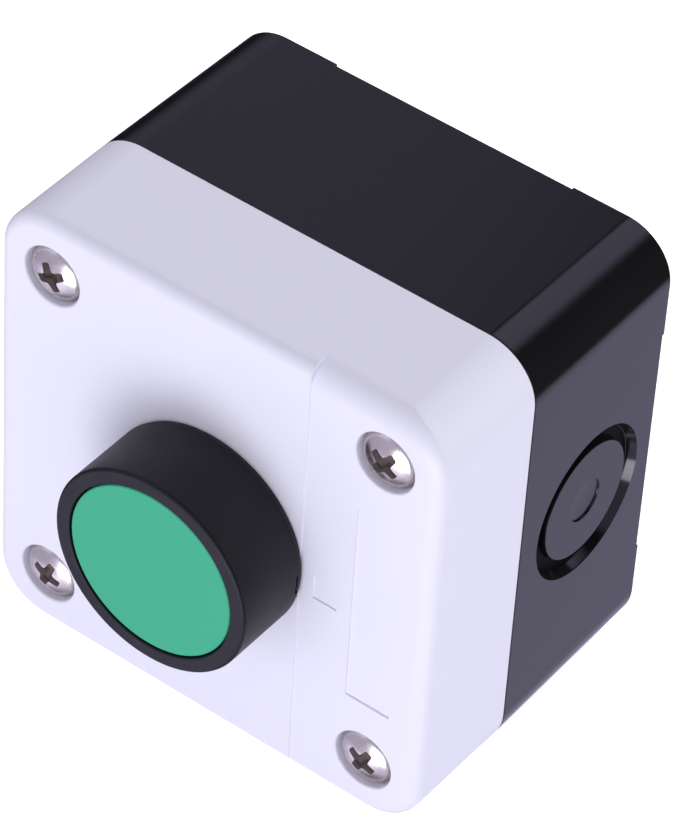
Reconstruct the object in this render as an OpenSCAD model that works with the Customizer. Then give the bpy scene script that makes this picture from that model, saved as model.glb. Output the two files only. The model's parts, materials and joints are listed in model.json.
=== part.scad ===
// One-button control box: a moulded two-part housing, a 22 mm flush pushbutton and its contact block.
// The box stands upright with its front facing -Y. The origin is the middle of the plane that its
// rear pads rest on. Inside the modules, Z is the distance from that plane and Y points up.

/* [Housing] */
// Width and height of the square face, at the seam
box_w = 68; // [66:0.5:74]
// Depth from the wall to the front of the cover
box_d = 47.5; // [47:0.5:56]
// Depth of the rear base, from the wall to the seam
base_d = 29; // [27:0.5:30]
// Radius of the four corners that run from front to back
corner_r = 7.6; // [7:0.1:9]
// Radius of the soft edge round the cover's front
edge_r = 1.3; // [0.6:0.1:2]
// How much narrower each side of the base is at the wall than at the seam
base_draft = 0.34; // [0.1:0.02:0.6]
// How much narrower each side of the cover is at the front than at the seam
cover_draft = 0.09; // [0.05:0.01:0.4]
// Thickness of the base's rear wall
rear_wall = 2.5; // [2:0.1:3]
// Thickness of the cover's side walls
cover_wall = 2.4; // [2:0.1:2.8]
// Thickness of the cover's front
front_wall = 2.5; // [2.2:0.1:3]
// Rounding of the two edges that meet at the seam
seam_r = 0.2; // [0.1:0.05:0.4]
// Length of each square pad on the back, from the side of the box
pad_w = 15.6; // [10:0.2:18]
// Height of the pads on the back
pad_h = 0.55; // [0.3:0.05:1]

/* [Seam seal] */
// Distance from the outside of the box to the base's tongue
tongue_inset = 1.5; // [1.2:0.1:1.8]
// Thickness of the tongue
tongue_t = 1.3; // [1.1:0.1:1.6]
// Height of the tongue above the seam
tongue_h = 2.2; // [1.5:0.1:3]
// Clearance between the tongue and each side of its groove
tongue_gap = 0.15; // [0.1:0.05:0.3]
// Thickness of the pressed gasket in the groove
gasket_t = 1.2; // [0.8:0.1:1.6]
// Thickness of the cover's rib inside the groove
groove_rib_t = 1.2; // [1:0.1:1.4]
// Thickness of the rim above the groove
groove_roof_t = 1.25; // [1:0.05:2]

/* [Cover screws] */
// Distance of each screw's axis from the two sides of the box beside it
screw_inset = 8.5; // [8.3:0.1:9]
// Diameter of the screw thread
screw_d = 4; // [3.5:0.1:4]
// Length of a screw under its head
screw_len = 25; // [23:1:26]
// Diameter of the screw head
head_d = 8; // [7:0.1:8.2]
// Height of the straight side of the head
head_side_h = 1.5; // [1:0.1:1.8]
// Rise of the dome on the head
head_dome_h = 1.3; // [0.8:0.1:1.5]
// How far the dome stands proud of the cover
head_proud = 0.4; // [0:0.1:0.6]
// Width of one slot of the cross recess
cross_slot_w = 0.9; // [0.6:0.1:1.2]
// Length of the slots of the cross recess
cross_slot_l = 4.3; // [3:0.1:5]
// Depth of the cross recess
cross_depth = 1.9; // [1:0.1:2.2]
// Radial room between the screw head and its counterbore
head_gap = 0.3; // [0.2:0.05:0.4]
// Rounding of the counterbore's lip
lip_r = 0.35; // [0.2:0.05:0.5]
// Thickness of plastic round the counterbore
boss_wall = 1.3; // [1.1:0.1:1.5]
// Outer diameter of the seal under the head
screw_seal_d = 6.6; // [6:0.1:7]
// Thickness of the seal under the head
screw_seal_t = 0.9; // [0.6:0.1:1.2]
// Outer diameter of the threaded insert
insert_d = 5.6; // [5.4:0.1:6]
// Length of the threaded insert
insert_len = 8; // [6:0.5:9]
// Width of the groove round the insert's middle
insert_groove_w = 1.6; // [1:0.1:2]
// Depth of that groove
insert_groove_t = 0.3; // [0.2:0.05:0.4]
// Diameter of the base's screw pillars
pillar_d = 8.4; // [8:0.1:8.8]
// Room left in the pillar below the end of the screw
screw_end_room = 2.1; // [1:0.1:4]
// Thickness of the ribs that tie pillars and bosses to the walls
rib_t = 1.6; // [1.2:0.1:2]

/* [Knockouts] */
// Outer diameter of the knockout's groove
knockout_d = 21.6; // [20:0.1:22]
// Diameter of the disc inside the groove
knockout_disc_d = 16.8; // [16:0.1:17.4]
// Distance of the knockout's centre from the wall
knockout_z = 14.2; // [13.5:0.1:15]
// How far the disc lies below the side of the box
knockout_sink = 0.4; // [0.3:0.05:0.6]
// Depth of the groove
knockout_groove = 1.3; // [1:0.1:1.6]
// Diameter of the dimple in the middle of the disc
dimple_d = 6; // [4:0.5:8]
// Depth of the dimple below the disc
dimple_depth = 0.25; // [0.15:0.05:0.4]

/* [Wall fixing] */
// Distance of each fixing hole from the top or bottom of the box
fixing_inset = 9; // [8.5:0.5:11]
// Diameter of the fixing holes
fixing_d = 4.5; // [4:0.1:5]
// Diameter of the boss round each fixing hole
fixing_boss_d = 9.5; // [8.5:0.1:10]
// Height of that boss above the inside of the rear wall
fixing_boss_h = 1.5; // [1:0.1:3]
// Height of the two stiffening ribs on the inside of the rear wall
floor_rib_h = 1.2; // [0.8:0.1:1.8]
// Distance between the two stiffening ribs
floor_rib_pitch = 30; // [24:1:36]

/* [Front face] */
// Where the shallow strip starts, from the middle of the face
strip_x = 14.1; // [13:0.1:16]
// Depth of the strip where it starts
strip_depth = 0.12; // [0.05:0.01:0.2]
// Width of the blank label field
label_w = 6.9; // [5:0.1:8]
// Length of the blank label field
label_l = 31.8; // [26:0.1:34]
// Side of the small blank square
square_w = 3.9; // [2:0.1:4.2]
// Height of the middle of the small square
square_y = -0.95; // [-4:0.05:4]
// Depth of the label field and the small square
field_depth = 0.3; // [0.15:0.05:0.5]

/* [Pushbutton] */
// Diameter of the bezel
bezel_d = 29.6; // [28:0.1:31]
// Height of the bezel's rim above the cover
bezel_h = 11.7; // [11:0.1:13]
// Rounding of the rim's outer edge
bezel_edge_r = 0.4; // [0.2:0.1:0.8]
// Thickness of the gasket under the bezel
bezel_gasket_t = 0.6; // [0.4:0.1:1]
// How far the gasket stays inside the bezel's edge
bezel_gasket_inset = 0.25; // [0.1:0.05:0.6]
// Diameter of the hole in the cover
panel_hole_d = 22.3; // [22.2:0.1:22.5]
// Diameter of the bezel's neck
neck_d = 21.9; // [21.8:0.1:22]
// Length of the neck behind the bezel
neck_len = 14.7; // [14.5:0.1:15]
// Width of the locating key on the neck
key_w = 3; // [2.6:0.1:3]
// How far the key stands out of the neck
key_h = 1.7; // [1.2:0.1:1.8]
// Clearance round the locating key in the cover and the gasket
key_gap = 0.1; // [0.05:0.05:0.2]
// Width of the small notch in the bezel's rear edge
notch_w = 3.2; // [2:0.1:4]
// Height of that notch
notch_h = 0.8; // [0.5:0.1:1.2]
// Depth of that notch
notch_t = 0.6; // [0.3:0.05:0.8]
// Turn of that notch from the right-hand side
notch_turn = -3; // [-10:1:10]
// Diameter of the button cap
cap_d = 24.8; // [24:0.1:25]
// How far the cap lies below the rim
cap_sink = 0.15; // [0.05:0.05:0.5]
// Gap between the cap and the bezel
cap_gap = 0.2; // [0.15:0.05:0.3]
// Thickness of the cap's face
cap_face_t = 1.8; // [1.4:0.1:2.2]
// Thickness of the cap's skirt
cap_skirt_t = 1.4; // [1:0.1:1.8]
// Full travel of the button
travel = 4.3; // [3.6:0.1:4.5]
// Room left under the cap and under the stem at full travel
stop_gap = 0.25; // [0.2:0.05:0.4]
// Thickness of the bezel under the cap
bezel_floor_t = 1.3; // [1:0.1:1.6]

/* [Button stem] */
// Diameter of the stem
stem_d = 14; // [13.4:0.1:14.2]
// Wall of the hollow stem
stem_wall = 2; // [1.6:0.1:2.4]
// Thickness of the flange under the cap
flange_t = 2; // [1.5:0.1:2.5]
// Radial running clearance of the stem, in its guide and in its seal
stem_gap = 0.08; // [0.05:0.01:0.1]
// Length of the guide in the neck
guide_len = 5.6; // [5:0.1:6]
// Diameter of the chamber for the return spring
chamber_d = 19.2; // [18.8:0.1:19.4]
// Diameter of the groove for the stem seal
stem_seal_d = 17.6; // [17:0.1:18]
// Thickness of the stem seal
stem_seal_t = 1.8; // [1.5:0.1:2.2]
// Thickness of the retaining ring
ring_t = 0.9; // [0.7:0.1:1.1]
// Diameter of the retaining ring
ring_d = 16.4; // [16:0.1:17]
// Depth of its groove in the stem
ring_groove = 0.7; // [0.5:0.1:1]
// Length of the stem below the retaining ring
stem_tail = 0.9; // [0.7:0.1:1.1]
// Play of the retaining ring against the neck
ring_play = 0.1; // [0.05:0.05:0.2]

/* [Fixing collar] */
// How far the collar reaches past the bezel on each side
collar_over = 0.2; // [0:0.1:0.5]
// Thickness of the collar
collar_t = 8.2; // [7:0.1:8.6]
// Radius of the collar's corners
collar_r = 3; // [2:0.1:4]
// Clearance of the collar round the neck
collar_gap = 0.15; // [0.1:0.05:0.3]
// Thickness of the bayonet lugs near the end of the neck
lug_t = 1.4; // [1.2:0.1:1.7]
// Length of the neck that is left past the lugs
neck_lead = 0.3; // [0.2:0.05:0.5]
// How far the lugs stand out of the neck
lug_h = 1.3; // [1:0.1:1.6]
// Angle that each lug covers
lug_angle = 50; // [30:5:70]
// Thickness of the collar's two clip arms
arm_t = 1.4; // [1.2:0.1:1.6]
// Width of the clip arms
arm_w = 7; // [5:0.1:8]
// Length of the hook at the end of an arm
hook_t = 1.5; // [1.2:0.1:2]
// How far the arms reach past the top of the block
arm_reach = 4.5; // [4:0.1:5]
// How far the hook reaches into the block
hook_h = 0.8; // [0.5:0.1:1]
// Distance of the clamping screw from the side of the collar
clamp_inset_x = 3.2; // [3:0.1:3.4]
// Distance of the clamping screw from the top of the collar
clamp_inset_y = 3.6; // [3.2:0.1:4]
// Diameter of the clamping screw
clamp_d = 3; // [2.6:0.1:3]
// Diameter of its head
clamp_head_d = 5; // [4.6:0.1:5.4]
// Height of its head
clamp_head_h = 1.8; // [1.4:0.1:2]
// Side of the square nut in the collar
nut_w = 5.5; // [5:0.1:5.5]
// Thickness of that nut
nut_t = 1.8; // [1.5:0.1:2.4]

/* [Contact block] */
// Width of the block, across
block_w = 11; // [10.8:0.1:12]
// Length of the block, up
block_l = 29; // [28.8:0.1:29.6]
// Depth of the block
block_h = 20.8; // [20.6:0.1:21.4]
// Thickness of the block's walls
block_wall = 1.1; // [1:0.05:1.2]
// Thickness of the two ears that carry the block
ear_t = 1.9; // [1.5:0.1:2]
// Clearance of the carrier in its guides
carrier_gap = 0.1; // [0.08:0.01:0.15]
// Room between the guide ribs and what moves or lies past their ends
guide_room = 0.8; // [0.6:0.1:1]
// Radial room round a terminal screw's head in its well
well_room = 0.2; // [0.15:0.05:0.3]
// Diameter of the carrier's post
post_d = 6; // [5.6:0.1:6]
// Length of the carrier body, up
carrier_l = 6.2; // [6:0.1:6.4]
// Width of the carrier body, across
carrier_w = 8; // [7.8:0.1:8.2]
// Depth of the carrier body
carrier_h = 12.7; // [12.4:0.1:12.8]
// Thickness of the bar above the carrier's window
window_bar = 1.4; // [1.2:0.1:1.6]
// Depth of the carrier's window
window_h = 6.8; // [6.6:0.1:7]
// Depth of the spring pocket under the carrier
pocket_h = 3.2; // [2.8:0.1:3.4]
// Diameter of the spring pocket
pocket_d = 4.8; // [4.6:0.1:5]
// Distance that the bridge moves before the contacts touch
contact_travel = 2.6; // [2.2:0.1:2.8]
// Thickness of the bridge and of the fixed contacts
strip_t = 0.8; // [0.6:0.1:0.9]
// Width of the bridge
bridge_w = 5; // [4.6:0.1:5]
// Length of the bridge
bridge_l = 17; // [16.4:0.1:17.4]
// Play between the bridge and its window
bridge_gap = 0.2; // [0.15:0.05:0.3]
// Distance between the two contact points
tip_pitch = 13.6; // [13.4:0.1:13.8]
// Diameter of a contact tip
tip_d = 2.6; // [2.2:0.1:2.8]
// Strip left between a contact tip and the inner end of a fixed contact
tip_edge = 0.3; // [0.2:0.05:0.4]
// Thickness of a contact tip
tip_t = 0.7; // [0.5:0.1:0.8]
// Diameter of the rivet behind a contact tip
rivet_d = 1.4; // [1:0.1:1.6]
// Width of a fixed contact
fixed_w = 6.4; // [6:0.1:6.8]
// Distance between the two terminal screws
terminal_pitch = 20.4; // [20.2:0.1:20.6]
// Diameter of a terminal screw
terminal_d = 2.9; // [2.6:0.1:3]
// Length of a terminal screw under its head
terminal_len = 5.5; // [4.5:0.1:6]
// Diameter of a terminal screw's head
terminal_head_d = 4.8; // [4.4:0.1:5]
// Height of a terminal screw's head
terminal_head_h = 2; // [1.6:0.1:2.2]
// Thickness of a terminal clamp
clamp_t = 1; // [0.8:0.1:1.1]
// Side of a terminal clamp
clamp_w = 5.2; // [5:0.1:5.4]

/* [Springs] */
// Wire of the button's return spring
return_wire = 1; // [0.8:0.1:1.1]
// Turns of the button's return spring
return_turns = 6.5; // [5:0.5:7]
// Wire of the carrier's spring
carrier_wire = 0.45; // [0.35:0.05:0.5]
// Turns of the carrier's spring
carrier_turns = 6; // [5:0.5:6.5]
// Wire of the spring on the bridge
bridge_wire = 0.35; // [0.3:0.05:0.4]
// Turns of the spring on the bridge
bridge_turns = 4.5; // [4:0.5:5.5]
// Mean diameter of the spring on the bridge
bridge_spring_d = 3.2; // [2.8:0.1:3.6]

/* [Hidden] */
$fn = 64;
// How far a cut runs past the face that it opens
past = 1;
// Clearance between pieces that lie together without rubbing
fit = 0.05;
// Rise of a spring's closed end turn, in wire diameters
closed_turn = 1.08;

// Housing, worked out from the sizes above
corner_c = box_w / 2 - corner_r;
side_inner = corner_r - tongue_inset - tongue_t;
floor_z = pad_h + rear_wall;
front_inner_z = box_d - front_wall;
tongue_z = base_d + tongue_h;
groove_z = tongue_z + gasket_t;
rim_inner = side_inner - tongue_gap - groove_rib_t;
rim_z = groove_z + groove_roof_t;
screw_at = box_w / 2 - screw_inset;
head_seat_z = box_d - head_side_h - head_dome_h + head_proud;
recess_d = head_d + 2 * head_gap;
boss_d = recess_d + 2 * boss_wall;
boss_step_z = head_seat_z - 2 * front_wall;
insert_z = base_d - insert_len;
well_z = head_seat_z - screw_len - screw_end_room;
thread_hole_d = screw_d + 2 * fit;
fixing_at = box_w / 2 - fixing_inset;

// Pushbutton levels, each a distance from the wall
bezel_z = box_d + bezel_gasket_t;
rim_top_z = box_d + bezel_h;
bezel_floor_z = bezel_z + bezel_floor_t;
cap_top_z = rim_top_z - cap_sink;
cap_skirt_z = bezel_floor_z + travel + stop_gap;
cap_bore_d = cap_d + 2 * cap_gap;
neck_end_z = bezel_z - neck_len;
guide_z = neck_end_z + guide_len;
seal_z = neck_end_z + (guide_len - stem_seal_t) / 2;
flange_top_z = cap_top_z - cap_face_t;
flange_z = flange_top_z - flange_t;
ring_z = neck_end_z - ring_play - ring_t;
stem_end_z = ring_z - stem_tail;
return_spring_d = (stem_d + chamber_d) / 2;

// Collar and contact block levels
lug_z = neck_end_z + neck_lead;
collar_z = lug_z + lug_t;
block_top_z = stem_end_z - travel - 2 * stop_gap;
block_z = block_top_z - block_h;
cavity_w = block_w - 2 * block_wall;
cavity_l = block_l - 2 * block_wall;
cavity_top_z = block_top_z - block_wall;
cavity_z = block_z + block_wall;
post_top_z = stem_end_z - fit;
carrier_top_z = cavity_top_z - carrier_gap;
carrier_z = carrier_top_z - carrier_h;
window_top_z = carrier_top_z - window_bar;
window_z = window_top_z - window_h;
bridge_z = window_z + fit;
bridge_tip_z = bridge_z - tip_t;
fixed_tip_top_z = bridge_tip_z - contact_travel;
fixed_z = fixed_tip_top_z - tip_t - strip_t;
fixed_inner = tip_pitch / 2 - tip_d / 2 - tip_edge;
clamp_z = fixed_z - clamp_t;
terminal_head_z = clamp_z - terminal_head_h;
hook_z = block_top_z - arm_reach;
arm_y = block_l / 2 + carrier_gap;
collar_w = bezel_d + 2 * collar_over;
collar_h = 2 * (arm_y + arm_t);
clamp_x = collar_w / 2 - clamp_inset_x;
clamp_y = collar_h / 2 - clamp_inset_y;

// Turns the shapes, which are drawn face up, so that their front faces -Y.
module upright() {
  rotate([90, 0, 0]) children();
}

// Sweeps a wall section, drawn outwards from the centre of a corner, round the square box.
module swept_square() {
  for (turn = [0 : 90 : 270]) rotate([0, 0, turn]) {
    translate([corner_c, 0, 0])
      rotate([90, 0, 0])
        linear_extrude(height = 2 * corner_c, center = true) children();
    translate([corner_c, corner_c, 0])
      rotate_extrude(angle = 90) children();
  }
}

// Puts a copy at each of the four cover screws.
module at_screws() {
  for (x = [-screw_at, screw_at], y = [-screw_at, screw_at]) translate([x, y, 0]) children();
}

// Puts a copy at each of the two fixing holes.
module at_fixings() {
  for (y = [-fixing_at, fixing_at]) translate([0, y, 0]) children();
}

// Puts a copy at the upper end of the contact block and a mirrored one at the lower end.
module both_ends() {
  children();
  mirror([0, 1, 0]) children();
}

module ring(d, hole_d, h) {
  difference() {
    cylinder(d = d, h = h);
    translate([0, 0, -past]) cylinder(d = hole_d, h = h + 2 * past);
  }
}

module round_plate(w, l, r, h) {
  linear_extrude(height = h) union() {
    square([w - 2 * r, l], center = true);
    square([w, l - 2 * r], center = true);
    for (x = [-1, 1], y = [-1, 1]) translate([x * (w / 2 - r), y * (l / 2 - r)]) circle(r = r);
  }
}

function arc(cx, cy, r, from, to, steps = 6) =
  [for (i = [0 : steps]) let (a = from + (to - from) * i / steps) [cx + r * cos(a), cy + r * sin(a)]];

// Height of a spring's wire after t turns: the first and last turns are closed, and the rest are even.
function coil_height(t, turns, wire, length) =
  let (flat = wire * closed_turn, middle = length - wire - 2 * flat)
  wire / 2 + flat * min(t, 1) + flat * max(0, t - turns + 1)
    + middle * max(0, min(t, turns - 1) - 1) / (turns - 2);

module coil_spring(mean_d, wire, turns, length, sides = 6, steps = 16) {
  count = ceil(turns * steps);
  points = [
    for (i = [0 : count], k = [0 : sides - 1])
      let (t = turns * i / count, a = 360 * t, b = 360 * k / sides, r = mean_d / 2 + wire / 2 * cos(b))
      [r * cos(a), r * sin(a), coil_height(t, turns, wire, length) + wire / 2 * sin(b)]
  ];
  sides_faces = [
    for (i = [0 : count - 1], k = [0 : sides - 1])
      let (n = (k + 1) % sides)
      [i * sides + k, (i + 1) * sides + k, (i + 1) * sides + n, i * sides + n]
  ];
  ends = [
    [for (k = [0 : sides - 1]) k],
    [for (k = [sides - 1 : -1 : 0]) count * sides + k]
  ];
  polyhedron(points = points, faces = concat(sides_faces, ends));
}

// Section of the base: drafted wall, floor, rim and the tongue that enters the cover.
module base_section() {
  polygon(concat(
    [[0, 0], [corner_r - base_draft, 0]],
    arc(corner_r - seam_r, base_d - seam_r, seam_r, 0, 90, 3),
    [
      [corner_r - tongue_inset, base_d],
      [corner_r - tongue_inset, tongue_z],
      [side_inner, tongue_z],
      [side_inner, base_d],
      [side_inner - base_draft, floor_z],
      [0, floor_z]
    ]
  ));
}

// Section of the cover: front, soft edge, drafted wall and the grooved rim.
module cover_section() {
  front_r = corner_r - cover_draft;
  difference() {
    polygon(concat(
      [[0, front_inner_z], [0, box_d]],
      arc(front_r - edge_r, box_d - edge_r, edge_r, 90, 0),
      arc(corner_r - seam_r, base_d + seam_r, seam_r, 0, -90, 3),
      [
        [rim_inner, base_d],
        [rim_inner, rim_z],
        [corner_r - cover_wall, rim_z + corner_r - cover_wall - rim_inner],
        [corner_r - cover_wall - cover_draft, front_inner_z]
      ]
    ));
    translate([side_inner - tongue_gap, base_d - past])
      square([tongue_t + 2 * tongue_gap, groove_z - base_d + past]);
  }
}

// Ribs that tie a pillar or boss, at its screw, to the two walls beside it.
module wall_ribs(from_z, to_z, reach) {
  for (sx = [-1, 1], sy = [-1, 1]) {
    translate([sx * (screw_at + reach / 2), sy * screw_at, (from_z + to_z) / 2])
      cube([reach, rib_t, to_z - from_z], center = true);
    translate([sx * screw_at, sy * (screw_at + reach / 2), (from_z + to_z) / 2])
      cube([rib_t, reach, to_z - from_z], center = true);
  }
}

// Cut of one knockout: a rounded groove, a sunk disc inside it and a dimple in the disc's middle.
module knockout_cut() {
  groove_w = (knockout_d - knockout_disc_d) / 2;
  groove_r = min(0.7 * knockout_groove, 0.4 * groove_w);
  translate([box_w / 2 - base_draft * (1 - knockout_z / base_d), 0, knockout_z]) rotate([0, 90, 0]) {
    rotate_extrude() polygon(concat(
      [[knockout_d / 2, past]],
      arc(knockout_d / 2 - groove_r, groove_r - knockout_groove, groove_r, 0, -90),
      arc(knockout_disc_d / 2 + groove_r, groove_r - knockout_groove, groove_r, -90, -180),
      [[knockout_disc_d / 2, past]]
    ));
    translate([0, 0, -knockout_sink]) cylinder(d = knockout_disc_d + 2 * fit, h = knockout_sink + past);
    translate([0, 0, -knockout_sink - dimple_depth]) cylinder(d = dimple_d, h = dimple_depth + past);
  }
}

// The back is hollowed in a cross between the four pads, round the bosses of the two fixing holes.
module rear_base() color("#202026") upright() difference() {
  union() {
    swept_square() base_section();
    translate([-corner_c, -corner_c, 0]) cube([2 * corner_c, 2 * corner_c, floor_z]);
    at_screws() cylinder(d = pillar_d, h = base_d);
    wall_ribs(floor_z - past, base_d - tongue_h, corner_c + side_inner - screw_at);
    at_fixings() cylinder(d = fixing_boss_d, h = floor_z + fixing_boss_h);
    for (y = [-1, 1]) translate([-screw_at, y * floor_rib_pitch / 2 - rib_t / 2, floor_z - past])
      cube([2 * screw_at, rib_t, floor_rib_h + past]);
  }
  difference() {
    for (turn = [0, 90]) rotate([0, 0, turn])
      translate([pad_w - box_w / 2, -box_w, -past]) cube([box_w - 2 * pad_w, 2 * box_w, past + pad_h]);
    at_fixings() translate([0, 0, -2 * past]) cylinder(d = fixing_boss_d, h = 3 * past + pad_h);
  }
  at_screws() translate([0, 0, insert_z]) cylinder(d = insert_d, h = insert_len + past);
  at_screws() translate([0, 0, well_z]) cylinder(d = thread_hole_d, h = insert_z - well_z + past);
  at_fixings() translate([0, 0, -past]) cylinder(d = fixing_d, h = floor_z + fixing_boss_h + 2 * past);
  for (turn = [0, 180]) rotate([0, 0, turn]) knockout_cut();
}

// Cut of one screw's counterbore with its soft lip, the pocket of its seal and its clearance hole.
module screw_cut() {
  translate([0, 0, head_seat_z]) cylinder(d = recess_d, h = box_d - head_seat_z + past);
  rotate_extrude() polygon(concat(
    [[recess_d / 2 - past, box_d - lip_r]],
    arc(recess_d / 2 + lip_r, box_d - lip_r, lip_r, 180, 90),
    [[recess_d / 2 + lip_r, box_d + past], [recess_d / 2 - past, box_d + past]]
  ));
  translate([0, 0, head_seat_z - screw_seal_t]) cylinder(d = screw_seal_d, h = screw_seal_t + past);
  translate([0, 0, base_d - past]) cylinder(d = thread_hole_d, h = box_d);
}

// Cut of the round panel hole and its locating notch.
module panel_hole_cut() {
  translate([0, 0, front_inner_z - past]) cylinder(d = panel_hole_d, h = front_wall + 2 * past);
  translate([0, -key_w / 2 - key_gap, front_inner_z - past])
    cube([neck_d / 2 + key_h + key_gap, key_w + 2 * key_gap, front_wall + 2 * past]);
}

// Shallow strip that starts in a step and fades out at the soft edge, with a blank label field in line
// with the screws and a small blank square halfway between the step and the field.
module face_cut() {
  strip_end = box_w / 2 - cover_draft - edge_r;
  label_x = screw_at - label_w / 2;
  square_x = (strip_x + label_x - square_w) / 2;
  rotate([90, 0, 0]) linear_extrude(height = 2 * box_w, center = true)
    polygon([
      [strip_x, box_d - strip_depth],
      [strip_end, box_d],
      [strip_end, box_d + past],
      [strip_x, box_d + past]
    ]);
  translate([label_x, -label_l / 2, box_d - field_depth])
    cube([label_w, label_l, field_depth + past]);
  translate([square_x, square_y - square_w / 2, box_d - field_depth])
    cube([square_w, square_w, field_depth + past]);
}

module front_cover() color("#ecebfb") upright() difference() {
  union() {
    swept_square() cover_section();
    translate([-corner_c, -corner_c, front_inner_z]) cube([2 * corner_c, 2 * corner_c, front_wall]);
    at_screws() translate([0, 0, base_d]) cylinder(d = pillar_d, h = front_inner_z - base_d + past);
    at_screws() translate([0, 0, boss_step_z]) cylinder(d = boss_d, h = box_d - boss_step_z - past);
    wall_ribs(base_d, rim_z + past, corner_c + rim_inner + groove_rib_t / 2 - screw_at);
    wall_ribs(rim_z, front_inner_z + past, corner_c + corner_r - cover_wall - screw_at);
  }
  at_screws() screw_cut();
  panel_hole_cut();
  face_cut();
}

// The gasket fills the end of the cover's groove, down to the tongue that presses it.
module cover_gasket() color("#3a3a3e") upright() swept_square()
  translate([side_inner - tongue_gap, tongue_z])
    square([tongue_t + 2 * tongue_gap, gasket_t]);

// Pan head: a straight side under a dome, with a cross recess.
module cover_screws() color("#c9c6c8") upright() at_screws() translate([0, 0, head_seat_z]) {
  dome_r = (pow(head_d / 2, 2) + pow(head_dome_h, 2)) / (2 * head_dome_h);
  head_h = head_side_h + head_dome_h;
  rim_angle = asin(head_d / 2 / dome_r);
  difference() {
    rotate_extrude() polygon(concat(
      [[0, 0], [head_d / 2, 0]],
      arc(0, head_h - dome_r, dome_r, 90 - rim_angle, 90, 8)
    ));
    for (turn = [0, 90]) rotate([0, 0, turn])
      translate([-cross_slot_l / 2, -cross_slot_w / 2, head_h - cross_depth])
        cube([cross_slot_l, cross_slot_w, cross_depth + past]);
  }
  translate([0, 0, -screw_len]) cylinder(d = screw_d, h = screw_len + fit);
}

module cover_screw_seals() color("#2a2a2e") upright() at_screws()
  translate([0, 0, head_seat_z - screw_seal_t])
    ring(screw_seal_d, thread_hole_d, screw_seal_t);

// Brass insert with a groove round its middle, which the plastic of the pillar doesn't fill.
module pillar_inserts() color("#b08d3c") upright() at_screws() translate([0, 0, insert_z]) difference() {
  ring(insert_d, thread_hole_d, insert_len);
  translate([0, 0, (insert_len - insert_groove_w) / 2])
    ring(insert_d + past, insert_d - 2 * insert_groove_t, insert_groove_w);
}

// Bezel and neck in one: rim, cap bore, spring chamber and guide, with a key and two bayonet lugs.
module button_bezel() color("#2a2932") upright() difference() {
  union() {
    rotate_extrude() polygon(concat(
      [[0, neck_end_z], [neck_d / 2, neck_end_z], [neck_d / 2, bezel_z], [bezel_d / 2, bezel_z]],
      arc(bezel_d / 2 - bezel_edge_r, rim_top_z - bezel_edge_r, bezel_edge_r, 0, 90, 4),
      [[0, rim_top_z]]
    ));
    translate([0, -key_w / 2, front_inner_z])
      cube([neck_d / 2 + key_h, key_w, bezel_z - front_inner_z + fit]);
    for (turn = [0, 180]) rotate([0, 0, turn - lug_angle / 2]) translate([0, 0, lug_z])
      rotate_extrude(angle = lug_angle) translate([neck_d / 2 - past, 0]) square([lug_h + past, lug_t]);
  }
  translate([0, 0, bezel_floor_z]) cylinder(d = cap_bore_d, h = rim_top_z - bezel_floor_z + past);
  translate([0, 0, guide_z]) cylinder(d = chamber_d, h = rim_top_z - guide_z);
  translate([0, 0, neck_end_z - past]) cylinder(d = stem_d + 2 * stem_gap, h = guide_len + 2 * past);
  translate([0, 0, seal_z]) cylinder(d = stem_seal_d, h = stem_seal_t);
  rotate([0, 0, notch_turn]) translate([bezel_d / 2 - notch_t, -notch_w / 2, bezel_z - past])
    cube([notch_t + past, notch_w, notch_h + past]);
}

module bezel_gasket() color("#1d1d21") upright() translate([0, 0, box_d]) difference() {
  ring(bezel_d - 2 * bezel_gasket_inset, neck_d + 2 * fit, bezel_gasket_t);
  translate([0, -key_w / 2 - key_gap, -past])
    cube([neck_d / 2 + key_h + key_gap, key_w + 2 * key_gap, bezel_gasket_t + 2 * past]);
}

module button_cap() color("#2fa07a") upright() {
  skirt_r = cap_d / 2;
  rotate_extrude() polygon(concat(
    [[0, flange_top_z], [skirt_r - cap_skirt_t, flange_top_z], [skirt_r - cap_skirt_t, cap_skirt_z]],
    [[skirt_r, cap_skirt_z]],
    arc(skirt_r - cap_gap, cap_top_z - cap_gap, cap_gap, 0, 90, 3),
    [[0, cap_top_z]]
  ));
}

// Hollow stem: its flange fills the cap, its closed end presses the contact carrier.
module button_stem() color("#dcd9d2") upright() difference() {
  union() {
    translate([0, 0, stem_end_z]) cylinder(d = stem_d, h = flange_top_z - stem_end_z);
    translate([0, 0, flange_z]) cylinder(d = cap_d - 2 * cap_skirt_t - 2 * fit, h = flange_t);
  }
  translate([0, 0, guide_z]) cylinder(d = stem_d - 2 * stem_wall, h = flange_top_z - guide_z + past);
  translate([0, 0, ring_z]) ring(stem_d + past, stem_d - 2 * ring_groove, ring_t);
}

module stem_seal() color("#3a3a3e") upright() translate([0, 0, seal_z])
  ring(stem_seal_d, stem_d + 2 * stem_gap, stem_seal_t);

// Snap ring, open on one side, that stops the stem against the end of the neck.
module stem_retaining_ring() color("#a8aab0") upright() translate([0, 0, ring_z]) difference() {
  ring(ring_d, stem_d - 2 * ring_groove, ring_t);
  translate([0, -ring_t, -past]) cube([ring_d, 2 * ring_t, ring_t + 2 * past]);
}

module return_spring() color("#b9bcc2") upright() translate([0, 0, guide_z])
  coil_spring(return_spring_d, return_wire, return_turns, flange_z - guide_z, 8, 20);

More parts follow.
